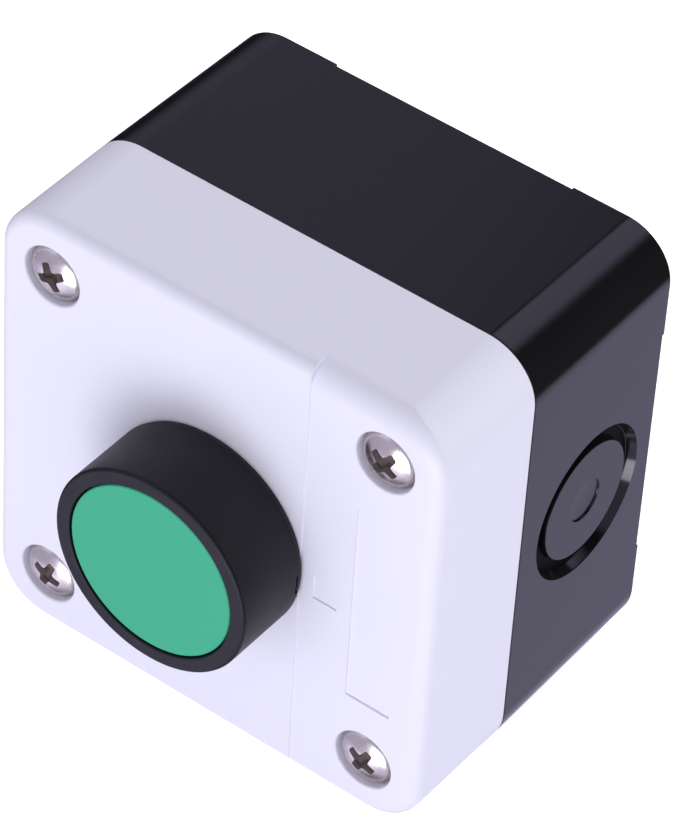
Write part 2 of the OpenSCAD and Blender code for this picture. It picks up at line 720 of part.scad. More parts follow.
// Square collar on the neck, behind its lugs, with two arms that clip the contact block.
module fixing_collar() color("#33333a") upright() difference() {
  union() {
    translate([0, 0, collar_z]) round_plate(collar_w, collar_h, collar_r, collar_t);
    both_ends() translate([-arm_w / 2, arm_y, hook_z])
      cube([arm_w, arm_t, collar_z - hook_z + past]);
    both_ends() translate([-arm_w / 2, arm_y - hook_h, hook_z])
      cube([arm_w, hook_h + fit, hook_t]);
  }
  translate([0, 0, collar_z - past]) cylinder(d = neck_d + 2 * collar_gap, h = collar_t + 2 * past);
  translate([clamp_x, clamp_y, collar_z - past]) cylinder(d = clamp_d + 2 * fit, h = collar_t + 2 * past);
  translate([clamp_x - nut_w / 2 - fit, clamp_y - nut_w / 2 - fit, collar_z + (collar_t - nut_t) / 2])
    cube([collar_w, nut_w + 2 * fit, nut_t]);
}

// The clamping screw pushes on the inside of the cover and so pulls the collar against the lugs.
module collar_screw() color("#c9c6c8") upright() translate([clamp_x, clamp_y, 0]) {
  translate([0, 0, collar_z]) cylinder(d = clamp_d, h = front_inner_z - collar_z);
  difference() {
    translate([0, 0, collar_z - clamp_head_h]) cylinder(d = clamp_head_d, h = clamp_head_h);
    translate([-clamp_head_d, -clamp_head_h / 4, collar_z - clamp_head_h - past])
      cube([2 * clamp_head_d, clamp_head_h / 2, past + clamp_head_h / 2]);
  }
}

module collar_nut() color("#c3c0b4") upright()
  translate([clamp_x, clamp_y, collar_z + (collar_t - nut_t) / 2]) difference() {
    translate([-nut_w / 2, -nut_w / 2, 0]) cube([nut_w, nut_w, nut_t]);
    translate([0, 0, -past]) cylinder(d = clamp_d + 2 * fit, h = nut_t + 2 * past);
  }

// Tray with guides for the carrier, ledges for the fixed contacts and wells for the terminal screws.
module contact_block_housing() color("#3b3b44") upright() {
  guide_y = carrier_l / 2 + carrier_gap;
  difference() {
    union() {
      translate([-block_w / 2, -block_l / 2, block_z]) cube([block_w, block_l, block_h]);
      both_ends() translate([-block_w / 2, block_l / 2 - ear_t, block_top_z - past])
        cube([block_w, ear_t, collar_z - block_top_z + past]);
    }
    translate([-cavity_w / 2, -cavity_l / 2, cavity_z])
      cube([cavity_w + block_wall + past, cavity_l, cavity_top_z - cavity_z]);
    translate([0, 0, cavity_top_z - past]) cylinder(d = post_d + 2 * carrier_gap, h = block_wall + 2 * past);
    both_ends() translate([0, terminal_pitch / 2, block_z - past])
      cylinder(d = terminal_head_d + 2 * well_room, h = block_wall + 2 * past);
    both_ends() translate([-clamp_w / 2, cavity_l / 2 - past, terminal_head_z])
      cube([clamp_w, block_wall + 2 * past, fixed_z - terminal_head_z]);
    both_ends() translate([-arm_w / 2 - fit, arm_y - hook_h - fit - carrier_gap, hook_z - fit])
      cube([arm_w + 2 * fit, block_wall, hook_t + 2 * fit]);
  }
  both_ends() translate([-cavity_w / 2 - fit, guide_y, bridge_z + strip_t + guide_room])
    cube([cavity_w + fit, block_wall, cavity_top_z - bridge_z - strip_t - guide_room + fit]);
  both_ends() translate([-cavity_w / 2 - fit, guide_y, cavity_z - fit])
    cube([cavity_w + fit, block_wall, fixed_z - guide_room - cavity_z + fit]);
  both_ends() translate([-cavity_w / 2 - fit, fixed_inner, cavity_z - fit])
    cube([cavity_w + fit, block_wall, fixed_z - cavity_z + fit]);
}

module contact_block_cover() color("#4a4a55") upright() translate([cavity_w / 2, 0, 0])
  translate([0, -cavity_l / 2 + fit, cavity_z + fit])
    cube([block_wall, cavity_l - 2 * fit, cavity_top_z - cavity_z - 2 * fit]);

// Slider with the post that the stem presses, a window for the bridge and a pocket for its spring.
module contact_carrier() color("#3d8f5c") upright() difference() {
  union() {
    translate([-carrier_w / 2, -carrier_l / 2, carrier_z]) cube([carrier_w, carrier_l, carrier_h]);
    translate([0, 0, carrier_top_z - fit]) cylinder(d = post_d, h = post_top_z - carrier_top_z + fit);
  }
  translate([-bridge_w / 2 - bridge_gap, -carrier_l, window_z])
    cube([bridge_w + 2 * bridge_gap, 2 * carrier_l, window_h]);
  translate([0, 0, carrier_z - past]) cylinder(d = pocket_d, h = pocket_h + past);
}

module carrier_spring() color("#b9bcc2") upright() translate([0, 0, cavity_z]) {
  mean_d = pocket_d - carrier_wire - 4 * fit;
  coil_spring(mean_d, carrier_wire, carrier_turns, carrier_z + pocket_h - cavity_z);
}

module contact_bridge() color("#c08a4a") upright() difference() {
  translate([-bridge_w / 2, -bridge_l / 2, bridge_z]) cube([bridge_w, bridge_l, strip_t]);
  both_ends() translate([0, tip_pitch / 2, bridge_z - past]) cylinder(d = rivet_d, h = strip_t + 2 * past);
}

// One riveted contact tip, its face up, with its rivet going down through the strip.
module contact_tip() {
  cylinder(d = tip_d, h = tip_t);
  translate([0, 0, -strip_t]) cylinder(d = rivet_d, h = strip_t + fit);
}

module bridge_contact_tips() color("#d8d8dc") upright() both_ends()
  translate([0, tip_pitch / 2, bridge_z]) mirror([0, 0, 1]) contact_tip();

module bridge_spring() color("#b9bcc2") upright() translate([0, 0, bridge_z + strip_t])
  coil_spring(bridge_spring_d, bridge_wire, bridge_turns, window_top_z - bridge_z - strip_t);

module fixed_contacts() color("#c08a4a") upright() both_ends() difference() {
  translate([-fixed_w / 2, fixed_inner, fixed_z]) cube([fixed_w, cavity_l / 2 - fixed_inner, strip_t]);
  translate([0, tip_pitch / 2, fixed_z - past]) cylinder(d = rivet_d, h = strip_t + 2 * past);
  translate([0, terminal_pitch / 2, fixed_z - past])
    cylinder(d = terminal_d + 2 * fit, h = strip_t + 2 * past);
}

module fixed_contact_tips() color("#d8d8dc") upright() both_ends()
  translate([0, tip_pitch / 2, fixed_z + strip_t]) contact_tip();

module terminal_clamps() color("#c3c0b4") upright() both_ends() translate([0, terminal_pitch / 2, clamp_z])
  difference() {
    translate([-clamp_w / 2, -clamp_w / 2, 0]) cube([clamp_w, clamp_w, clamp_t]);
    translate([0, 0, -past]) cylinder(d = terminal_d + 2 * fit, h = clamp_t + 2 * past);
  }

module terminal_screws() color("#c9c6c8") upright() both_ends() translate([0, terminal_pitch / 2, clamp_z]) {
  translate([0, 0, -fit]) cylinder(d = terminal_d, h = terminal_len + fit);
  difference() {
    translate([0, 0, -terminal_head_h]) cylinder(d = terminal_head_d, h = terminal_head_h);
    translate([-terminal_head_d, -terminal_head_h / 6, -terminal_head_h - past])
      cube([2 * terminal_head_d, terminal_head_h / 3, past + terminal_head_h / 2]);
  }
}

rear_base();
front_cover();
cover_gasket();
cover_screws();
cover_screw_seals();
pillar_inserts();
button_bezel();
bezel_gasket();
button_cap();
button_stem();
stem_seal();
stem_retaining_ring();
return_spring();
fixing_collar();
collar_screw();
collar_nut();
contact_block_housing();
contact_block_cover();
contact_carrier();
carrier_spring();
contact_bridge();
bridge_contact_tips();
bridge_spring();
fixed_contacts();
fixed_contact_tips();
terminal_clamps();
terminal_screws();
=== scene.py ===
"""Looks of a one-button control box: moulded shells, pushbutton, screws, springs and a pale studio."""
import json
import math

import bmesh
import bpy
from mathutils import Matrix, Vector


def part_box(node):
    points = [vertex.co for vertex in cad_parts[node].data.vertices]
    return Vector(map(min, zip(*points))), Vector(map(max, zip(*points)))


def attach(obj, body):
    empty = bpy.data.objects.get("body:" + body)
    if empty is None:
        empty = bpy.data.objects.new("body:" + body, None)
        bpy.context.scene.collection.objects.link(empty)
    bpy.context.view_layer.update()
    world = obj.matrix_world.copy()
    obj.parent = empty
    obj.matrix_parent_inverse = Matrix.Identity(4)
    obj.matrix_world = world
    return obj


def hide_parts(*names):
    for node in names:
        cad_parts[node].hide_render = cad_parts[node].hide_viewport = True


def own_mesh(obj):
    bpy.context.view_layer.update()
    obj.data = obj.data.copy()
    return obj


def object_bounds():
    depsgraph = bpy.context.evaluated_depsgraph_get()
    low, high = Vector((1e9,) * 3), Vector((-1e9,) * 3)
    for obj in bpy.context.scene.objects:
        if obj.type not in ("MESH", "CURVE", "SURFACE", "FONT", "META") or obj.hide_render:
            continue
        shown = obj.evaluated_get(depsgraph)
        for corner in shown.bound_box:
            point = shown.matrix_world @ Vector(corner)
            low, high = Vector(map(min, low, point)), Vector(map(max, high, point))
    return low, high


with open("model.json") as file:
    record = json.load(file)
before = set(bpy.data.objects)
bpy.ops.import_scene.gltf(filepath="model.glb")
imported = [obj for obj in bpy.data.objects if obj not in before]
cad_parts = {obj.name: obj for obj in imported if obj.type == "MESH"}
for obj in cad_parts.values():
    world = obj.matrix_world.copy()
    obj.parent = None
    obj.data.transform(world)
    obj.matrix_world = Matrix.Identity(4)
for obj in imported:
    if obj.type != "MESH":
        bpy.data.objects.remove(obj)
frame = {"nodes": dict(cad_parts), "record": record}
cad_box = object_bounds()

bl_info = {
    "name": "One-button control box",
    "version": (1, 0, 0),
    "blender": (4, 5, 0),
    "location": "3D View > Sidebar > Control Box",
    "description": "Builds the visible pieces of a one-button control box round its measured frame",
    "category": "Add Mesh",
}

MM = 0.001
# Pieces are drawn face up, with Z as the distance from the wall and Y up, and are then turned to face -Y
UPRIGHT = Matrix.Rotation(math.radians(90), 4, "X")
# How far a cut runs past the face that it opens
PAST = 1 * MM
# Clearance between pieces that lie together
FIT = 0.05 * MM
# Points closer than this are one point
WELD = 0.0005 * MM
# A shaded mesh is split where its faces turn by more than this
SHARP_ANGLE = math.radians(32)
# Sections of the shells start this far from the centre of a corner
CORE = 1 * MM
# Small roundings of moulded edges, from crisp to full
CRISP = 0.1 * MM
EASED = 0.15 * MM
SOFT = 0.2 * MM
FULL = 0.3 * MM


def linear(colour):
    """An sRGB hex value, such as "#E8E6FB", as linear red, green and blue."""
    shares = [int(colour[at:at + 2], 16) / 255 for at in (1, 3, 5)]
    return tuple(c / 12.92 if c <= 0.04045 else ((c + 0.055) / 1.055) ** 2.4 for c in shares)


def depths(node):
    """How far the back and the front of a node are from the wall."""
    low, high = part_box(node)
    return -high.y, -low.y


def half_width(node):
    """Half of a node's width across the box."""
    low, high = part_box(node)
    return (high.x - low.x) / 2


BOX_HALF = half_width("front_cover")
SEAM, FACE = depths("front_cover")
TONGUE_TOP, GROOVE_TOP = depths("cover_gasket")
NECK_END, RIM = depths("button_bezel")
BEZEL_RADIUS = half_width("button_bezel")
BEZEL_BACK = depths("bezel_gasket")[1]
GASKET_RADIUS = half_width("bezel_gasket")
CAP_SKIRT, CAP_TOP = depths("button_cap")
CAP_RADIUS = half_width("button_cap")
SPRING_SEAT = depths("return_spring")[0]
STEM_SEAL_BACK, STEM_SEAL_FRONT = depths("stem_seal")
STEM_SEAL_RADIUS = half_width("stem_seal")
SCREW_TIP, SCREW_TOP = depths("cover_screws")
SCREW_SEAL_BACK, SCREW_SEAT = depths("cover_screw_seals")
INSERT_BACK, INSERT_FRONT = depths("pillar_inserts")
TRAVELS = {joint["name"]: joint["range_m"][1] for joint in frame["record"]["behaviour"]["joints"]}


def length(name, description, millimetres):
    """A property that holds a length."""
    return bpy.props.FloatProperty(
        name=name, description=description, default=millimetres * MM, min=0, precision=5, subtype="DISTANCE"
    )


def turn(name, description, degrees):
    """A property that holds an angle."""
    return bpy.props.FloatProperty(
        name=name, description=description, default=math.radians(degrees), subtype="ANGLE"
    )


def colour(name, description, value):
    """A property that holds a colour, given as its sRGB hex value."""
    return bpy.props.FloatVectorProperty(
        name=name, description=description, default=linear(value), min=0, max=1, size=3, subtype="COLOR"
    )


def factor(name, description, value):
    """A property that holds a share from 0 to 1."""
    return bpy.props.FloatProperty(
        name=name, description=description, default=value, min=0, max=1, subtype="FACTOR"
    )


def number(name, description, value, low=0, subtype="NONE"):
    """A property that holds a plain number."""
    return bpy.props.FloatProperty(
        name=name, description=description, default=value, min=low, subtype=subtype
    )


class HousingSettings(bpy.types.PropertyGroup):
    """Sizes and colours of the moulded base and cover."""

    corner_radius: length("Corner radius", "Radius of the corners that run from front to back", 7.6)
    edge_radius: length("Front edge radius", "Rounding of the edge round the face", 1.7)
    seam_radius: length("Seam radius", "Rounding of the two edges that meet at the seam", 0.2)
    rear_radius: length("Rear edge radius", "Rounding of the base's edge at the wall", 0.3)
    base_draft: length("Base draft", "How much narrower each side of the base is at the wall", 0.34)
    cover_draft: length("Cover draft", "How much narrower each side of the cover is at the face", 0.09)
    tongue_inset: length("Tongue inset", "Distance from the outside to the tongue", 1.5)
    tongue: length("Tongue thickness", "Thickness of the base's tongue", 1.3)
    tongue_gap: length("Tongue clearance", "Clearance beside the tongue in its groove", 0.15)
    groove_rib: length("Groove rib", "Thickness of the cover's rib inside the groove", 1.2)
    groove_roof: length("Groove roof", "Thickness of the rim above the groove", 1.25)
    cover_wall: length("Cover wall", "Thickness of the cover's sides", 2.4)
    face_wall: length("Face wall", "Thickness of the cover's front", 2.5)
    inner_radius: length("Inner radius", "Rounding behind the face, where the cover's sides meet it", 1)
    floor_radius: length("Floor radius", "Rounding inside the base, where its sides meet the floor", 0.8)
    rear_wall: length("Rear wall", "Thickness of the base's back", 2.5)
    pad_length: length("Pad length", "Length of each square pad on the back", 15.6)
    pad_height: length("Pad height", "Height of the pads on the back", 0.55)
    pillar_radius: length("Pillar radius", "Radius of the screw pillars", 4.2)
    boss_wall: length("Boss wall", "Plastic round each counterbore", 1.3)
    rib: length("Rib thickness", "Thickness of the inner ribs", 1.6)
    fixing_inset: length("Fixing inset", "Distance of a fixing hole from the top or bottom", 9)
    fixing_radius: length("Fixing hole radius", "Radius of the two fixing holes", 2.25)
    fixing_boss_radius: length("Fixing boss radius", "Radius of the boss round a fixing hole", 4.75)
    fixing_boss_height: length("Fixing boss height", "Height of that boss inside the box", 1.5)
    floor_rib_height: length("Floor rib height", "Height of the two ribs on the floor", 1.2)
    floor_rib_spacing: length("Floor rib spacing", "Distance between the two floor ribs", 30)
    screw_end_room: length("Screw end room", "Room in a pillar below the end of its screw", 2.1)
    cover_colour: colour("Cover colour", "Pale moulded ABS", "#E7E5FA")
    base_colour: colour("Base colour", "Black moulded ABS", "#0E0E10")


class KnockoutSettings(bpy.types.PropertyGroup):
    """Sizes of the cable knockouts in the two sides of the base."""

    height: length("Height", "Distance of the knockout's middle from the wall", 14.2)
    groove_radius: length("Groove radius", "Outer radius of the groove", 10.8)
    disc_radius: length("Disc radius", "Radius of the disc inside the groove", 8.4)
    groove_depth: length("Groove depth", "Depth of the groove", 1.5)
    groove_slope: length("Groove slope", "How far the groove's outer wall slopes inwards", 0.6)
    disc_sink: length("Disc sink", "How far the disc lies below the side", 0.4)
    dimple_radius: length("Dimple radius", "Radius of the dimple in the disc", 3)
    dimple_depth: length("Dimple depth", "Depth of the dimple", 0.25)


class FaceSettings(bpy.types.PropertyGroup):
    """Sizes of the shallow mouldings on the face."""

    strip_start: length("Strip start", "Where the shallow strip starts, from the middle", 14.1)
    strip_depth: length("Strip depth", "Depth of the strip where it starts", 0.12)
    strip_slope: length("Strip slope", "Width of the step where the strip starts", 0.1)
    line_width: length("Line width", "Width of the fine sloping line along that step", 0.5)
    line_depth: length("Line depth", "Depth of that line below the strip", 0.035)
    strip_edge: length("Strip edge radius", "Rounding of the strip's upper edge", 3.4)
    strip_side: length("Strip side", "How much further out the same rounding lies on the right-hand edge", 1)
    label_width: length("Label width", "Width of the blank label field", 6.9)
    label_length: length("Label length", "Length of the blank label field", 31.8)
    square_side: length("Square side", "Side of the small blank square", 3.9)
    square_drop: length("Square drop", "How far the square's middle is below the middle of the face", 0.95)
    field_depth: length("Field depth", "Depth of the two fields", 0.3)
    field_corner: length("Field corner", "Radius of the fields' corners", 0.25)
    field_slope: length("Field slope", "How far the fields' walls slope on each side of the face", 0.14)
    field_rounding: length("Field rounding", "Rounding between the fields' walls and floor", 0.05)


class ButtonSettings(bpy.types.PropertyGroup):
    """Sizes and colours of the pushbutton."""

    rim_radius: length("Rim rounding", "Rounding of the bezel's outer edge", 0.45)
    bore_rounding: length("Bore rounding", "Rounding of the bezel's inner edge", 0.2)
    cap_gap: length("Cap gap", "Gap between the cap and the bezel", 0.2)
    cap_rounding: length("Cap rounding", "Rounding of the cap's edge", 0.25)
    cap_skirt: length("Cap skirt", "Thickness of the cap's skirt", 1.4)
    cap_face: length("Cap face", "Thickness of the cap's face", 1.8)
    bezel_floor: length("Bezel floor", "Thickness of the bezel under the cap", 1.3)
    neck_radius: length("Neck radius", "Radius of the neck behind the bezel", 10.95)
    chamber_radius: length("Chamber radius", "Radius of the spring's chamber", 9.6)
    stem_radius: length("Stem radius", "Radius of the stem in its guide", 7)
    stem_gap: length("Stem gap", "Clearance of the stem in its guide", 0.08)
    key_width: length("Key width", "Width of the locating key", 3)
    key_height: length("Key height", "How far the key stands out of the neck", 1.7)
    key_gap: length("Key gap", "Clearance round the key", 0.1)
    panel_radius: length("Panel hole radius", "Radius of the hole in the cover", 11.15)
    lug_lead: length("Lug lead", "Length of the neck that is left past the lugs", 0.3)
    lug_height: length("Lug height", "How far the lugs stand out of the neck", 1.3)
    lug_thickness: length("Lug thickness", "Thickness of the lugs", 1.4)
    lug_spread: turn("Lug spread", "Angle that each lug covers", 50)
    notch_width: length("Notch width", "Width of the notch in the bezel's rear edge", 3.2)
    notch_height: length("Notch height", "Height of that notch", 0.8)
    notch_depth: length("Notch depth", "Depth of that notch", 0.6)
    notch_turn: turn("Notch turn", "Turn of that notch from the right-hand side", -3)
    bezel_colour: colour("Bezel colour", "Black matte polyamide", "#0F0E14")
    cap_colour: colour("Cap colour", "Green matte ABS", "#39AB88")


class ScrewSettings(bpy.types.PropertyGroup):
    """Sizes of the four cover screws and of the threaded inserts."""

    head_radius: length("Head radius", "Radius of a cover screw's head", 4)
    head_side: length("Head side", "Height of the head's straight side", 1.65)
    head_edge: length("Head edge radius", "Rounding between a head's dome and its side", 1.2)
    head_gap: length("Head gap", "Radial room round the head", 0.3)
    lip: length("Lip", "Rounding of the counterbore's lip", 0.35)
    thread_radius: length("Thread radius", "Radius of the thread", 2)
    pitch: length("Pitch", "Pitch of the thread", 0.7)
    hole_radius: length("Hole radius", "Radius of the clearance hole", 2.05)
    seal_radius: length("Seal radius", "Outer radius of the seal under the head", 3.3)
    recess_reach: length("Recess reach", "From the middle to the end of a recess wing", 2.1)
    recess_width: length("Recess width", "Width of a recess wing at the top", 1.05)
    recess_depth: length("Recess depth", "Depth of the cross recess", 1.5)
    turn_top_left: turn("Top left turn", "Turn of the top left screw", 28)
    turn_top_right: turn("Top right turn", "Turn of the top right screw", 52)
    turn_bottom_right: turn("Bottom right turn", "Turn of the bottom right screw", 60)
    turn_bottom_left: turn("Bottom left turn", "Turn of the bottom left screw", 68)
    insert_radius: length("Insert radius", "Radius of a threaded insert", 2.8)
    ridges: bpy.props.IntProperty(
        name="Insert ridges", description="Knurled ridges round each insert", default=28, min=8, max=60
    )


class SpringSettings(bpy.types.PropertyGroup):
    """Wires and turns of the three springs."""

    return_wire: length("Return spring wire", "Wire of the button's spring", 1)
    return_turns: number("Return spring turns", "Turns of the button's spring", 6.5, 3)
    carrier_wire: length("Carrier spring wire", "Wire of the carrier's spring", 0.45)
    carrier_turns: number("Carrier spring turns", "Turns of the carrier's spring", 6, 3)
    bridge_wire: length("Bridge spring wire", "Wire of the spring on the bridge", 0.35)
    bridge_turns: number("Bridge spring turns", "Turns of the spring on the bridge", 4.5, 3)


class StudioSettings(bpy.types.PropertyGroup):
    """Viewpoint, light and floor."""

    azimuth: turn("Azimuth", "How far the view is turned to the right of the front", 34.83)
    elevation: turn("Elevation", "How far the view looks down", 42.8)
    roll: turn("Roll", "Turn of the picture", 3.82)
    distance: length("Distance", "From the lens to the point that it looks at", 631.87)
    focal_length: number("Focal length", "Focal length for a 36 mm sensor, in millimetres", 220.98, 1)
    aim: bpy.props.FloatVectorProperty(
        name="Aim", description="Point that the camera looks at",
        default=(0.705 * MM, -21.801 * MM, 1.293 * MM), size=3, precision=6, subtype="TRANSLATION"
    )
    key_power: number("Key power", "Power of the soft lamp in front of the box", 2.14, subtype="POWER")
    surround: factor("Surround", "Brightness of the white room as light on the object", 0.31)
    table: factor("Table", "Brightness of the table below in reflections", 0.8)
    front: factor("Front", "Brightness of the room in front in reflections", 0.6)
    face_card: factor("Face card", "Extra brightness of the table where the face mirrors it", 0.75)
    lamp_card: number("Lamp card", "Brightness of the soft key lamp in reflections", 2.6)
    wall: factor("Wall", "Brightness of the wall at the upper left in reflections", 0.56)
    gloom: factor("Gloom", "Brightness of the rest of the room in reflections", 0.03)
    tint: colour("Tint", "Cool tint of what the gloss reflects", "#DFDAFF")
    floor_colour: colour("Floor colour", "Plain pale floor", "#F4F4F4")
    floor_lift: factor("Floor lift", "Share of white that the camera sees on the floor in any light", 0.72)


def rounded(corners, steps=6):
    """Points of a section. Each corner is its reach, its level and the radius that rounds it."""
    points = []
    for at, (reach, level, radius) in enumerate(corners):
        here = Vector((reach, level))
        if radius == 0:
            points.append(here)
            continue
        back = (Vector(corners[at - 1][:2]) - here).normalized()
        ahead = (Vector(corners[(at + 1) % len(corners)][:2]) - here).normalized()
        corner = back.angle(ahead)
        centre = here + (back + ahead).normalized() * radius / math.sin(corner / 2)
        first = here + back * radius / math.tan(corner / 2) - centre
        last = here + ahead * radius / math.tan(corner / 2) - centre
        sweep_angle = math.pi - corner
        for step in range(steps + 1):
            share = step / steps
            start_part = first * math.sin((1 - share) * sweep_angle)
            end_part = last * math.sin(share * sweep_angle)
            points.append(centre + (start_part + end_part) / math.sin(sweep_angle))
    return points


def rod(radius, low, high, rounding=0):
    """Corners of the section of a round rod, whose upper edge can be rounded."""
    return [(0, low, 0), (radius, low, 0), (radius, high, rounding), (0, high, 0)]


def clean(bm):
    """Welds what coincides and points every face outwards."""
    bmesh.ops.remove_doubles(bm, verts=bm.verts, dist=WELD)
    bmesh.ops.dissolve_degenerate(bm, dist=WELD, edges=bm.edges)
    bmesh.ops.recalc_face_normals(bm, faces=bm.faces)


def join_rings(bm, rings):
    """Faces between rings of points, each ring with the next."""
    for lower, upper in zip(rings, rings[1:]):
        for here in range(len(lower)):
            after = (here + 1) % len(lower)
            bm.faces.new((lower[here], lower[after], upper[after], upper[here]))


def new_object(name, bm):
    """An object in the scene with the mesh bm, which is freed."""
    mesh = bpy.data.meshes.new(name)
    bm.to_mesh(mesh)
    bm.free()
    made = bpy.data.objects.new(name, mesh)
    bpy.context.scene.collection.objects.link(made)
    return made


def swept(name, corners, half_across=0.0, half_up=0.0, steps=16, at=(0, 0, 0), turned=None, fillet_steps=6):
    """A closed solid: a section carried round a rounded square, or round an axis where both halves are 0."""
    section = rounded(corners, fillet_steps)
    closed = (section[0] - section[-1]).length < WELD
    quarters = ((1, 1), (-1, 1), (-1, -1), (1, -1))
    bm = bmesh.new()
    rings = []
    for reach, level in section:
        ring = []
        for quarter, (right, up) in enumerate(quarters):
            for step in range(steps + 1):
                angle = math.pi / 2 * (quarter + step / steps)
                across = right * half_across + reach * math.cos(angle)
                ring.append(bm.verts.new((across, up * half_up + reach * math.sin(angle), level)))
        rings.append(ring)
    join_rings(bm, rings)
    for end, ring in ((0, rings[0]), (-1, rings[-1])):
        if not closed and section[end].x + half_across > WELD:
            bm.faces.new(ring)
    clean(bm)
    bm.transform(Matrix.Translation(at) @ (turned or Matrix.Identity(4)))
    return new_object(name, bm)


def swept_at(name, corners, places, steps=16, fillet_steps=6):
    """The same turned solid at each place, which is given across and up."""
    return [
        swept(f"{name}_{number}", corners, steps=steps, at=(x, y, 0), fillet_steps=fillet_steps)
        for number, (x, y, *_) in enumerate(places)
    ]


def block(name, low, high, turned=None):
    """A box between two corners."""
    bm = bmesh.new()
    bmesh.ops.create_cube(bm, size=1)
    size = Vector(high) - Vector(low)
    middle = (Vector(high) + Vector(low)) / 2
    bm.transform((turned or Matrix.Identity(4)) @ Matrix.Translation(middle) @ Matrix.Diagonal((*size, 1)))
    return new_object(name, bm)


def prism(name, outline, low, high):
    """A solid with an outline in the plane of X and Z, carried along Y."""
    bm = bmesh.new()
    near = [bm.verts.new((x, low, z)) for x, z in outline]
    far = [bm.verts.new((x, high, z)) for x, z in outline]
    bm.faces.new(near)
    bm.faces.new(far)
    join_rings(bm, [near, far])
    clean(bm)
    return new_object(name, bm)


def bake(piece):
    """Replaces a piece's mesh by what its modifiers make of it, and removes them."""
    bpy.context.view_layer.update()
    depsgraph = bpy.context.evaluated_depsgraph_get()
    made = bpy.data.meshes.new_from_object(piece.evaluated_get(depsgraph), depsgraph=depsgraph)
    drawn = piece.data
    piece.modifiers.clear()
    piece.data = made
    bpy.data.meshes.remove(drawn)
    made.name = piece.name


def combine(piece, tools, operation):
    """Joins tools to a piece or cuts them from it, and removes them."""
    for tool in tools:
        modifier = piece.modifiers.new(tool.name, "BOOLEAN")
        modifier.operation = operation
        modifier.solver = "EXACT"
        modifier.object = tool
    bake(piece)
    for tool in tools:
        mesh = tool.data
        bpy.data.objects.remove(tool)
        bpy.data.meshes.remove(mesh)


def shade(piece):
    """Smooth shading that keeps flat faces flat and sharp edges sharp."""
    piece.data.shade_smooth()
    piece.data.set_sharp_from_angle(angle=SHARP_ANGLE)
    modifier = piece.modifiers.new("even shading", "WEIGHTED_NORMAL")
    modifier.keep_sharp = True
    bake(piece)


def finish(piece, material, body, slot, *nodes):
    """Turns a drawn piece upright, gives it its material and its body, and hides the nodes that it stands
    for.
    """
    piece.data.transform(UPRIGHT)
    piece.data.materials.clear()
    piece.data.materials.append(material)
    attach(piece, body)
    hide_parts(*nodes)


def add(tree, kind, inputs=None, **settings):
    """Adds a node with its settings, and sets each input to a value or links it to a socket."""
    node = tree.nodes.new(kind)
    for key, value in settings.items():
        setattr(node, key, value)
    for key, value in (inputs or {}).items():
        if isinstance(value, bpy.types.NodeSocket):
            tree.links.new(value, node.inputs[key])
        else:
            node.inputs[key].default_value = value
    return node


def new_material(name):
    """An empty node material with its output, and its tree."""
    material = bpy.data.materials.new(name)
    material.use_nodes = True
    material.node_tree.nodes.clear()
    return material, material.node_tree


# Most of the noise lies between these two values
NOISE_LOW = 0.3
NOISE_HIGH = 0.7
# Roughness of a surface from a polished tool, and roughness and gloss of one from an unfinished tool
POLISHED = 0.12
UNFINISHED = 0.6
UNFINISHED_GLOSS = 0.1
# Painted shade in the depth of a screw's recess: a darker tone that stands in for its shade, and a higher
# roughness there
RECESS_SHADE_TONE = "#80756F"
RECESS_ROUGHNESS = 0.85


def moulded(name, tone, roughness, grain, relief, ior=1.5, gloss_level=0.5, cloud=18 * MM, spread=0.03,
            polish=None, dull=None):
    """Moulded plastic: fine spark-eroded grain, and faint clouds in its tone and gloss where the melt flowed.

    The attribute polish marks what a polished tool made, and dull what an unfinished one did.
    """
    material, tree = new_material(name)
    place = add(tree, "ShaderNodeTexCoord").outputs["Object"]
    clouds, fine = (
        add(tree, "ShaderNodeTexNoise", {"Vector": place, "Scale": 1 / size, "Detail": detail}).outputs["Fac"]
        for size, detail in ((cloud, 3.0), (grain, 2.0))
    )
    pale = tuple(min(1.0, c * (1 + spread)) for c in tone)
    deep = tuple(c * (1 - spread) for c in tone)
    seen = add(tree, "ShaderNodeMix", {
        "Factor": clouds, "A": (*deep, 1), "B": (*pale, 1)
    }, data_type="RGBA").outputs[2]
    gloss = add(tree, "ShaderNodeMapRange", {
        "Value": clouds, "From Min": NOISE_LOW, "From Max": NOISE_HIGH,
        "To Min": roughness * 0.92, "To Max": roughness * 1.08
    }).outputs["Result"]
    strength = 1.0
    if polish is not None:
        mask = add(tree, "ShaderNodeAttribute", attribute_name=polish).outputs["Fac"]
        gloss = add(tree, "ShaderNodeMix", {"Factor": mask, "A": gloss, "B": POLISHED}).outputs["Result"]
        strength = add(tree, "ShaderNodeMath", {0: 1.0, 1: mask}, operation="SUBTRACT").outputs[0]
    if dull is not None:
        mask = add(tree, "ShaderNodeAttribute", attribute_name=dull).outputs["Fac"]
        gloss = add(tree, "ShaderNodeMix", {"Factor": mask, "A": gloss, "B": UNFINISHED}).outputs["Result"]
        gloss_level = add(tree, "ShaderNodeMix", {
            "Factor": mask, "A": gloss_level, "B": UNFINISHED_GLOSS
        }).outputs["Result"]
    bump = add(tree, "ShaderNodeBump", {"Strength": strength, "Distance": relief, "Height": fine})
    shader = add(tree, "ShaderNodeBsdfPrincipled", {
        "Base Color": seen, "Roughness": gloss, "IOR": ior, "Normal": bump.outputs["Normal"],
        "Specular IOR Level": gloss_level
    })
    add(tree, "ShaderNodeOutputMaterial", {"Surface": shader.outputs["BSDF"]})
    return material


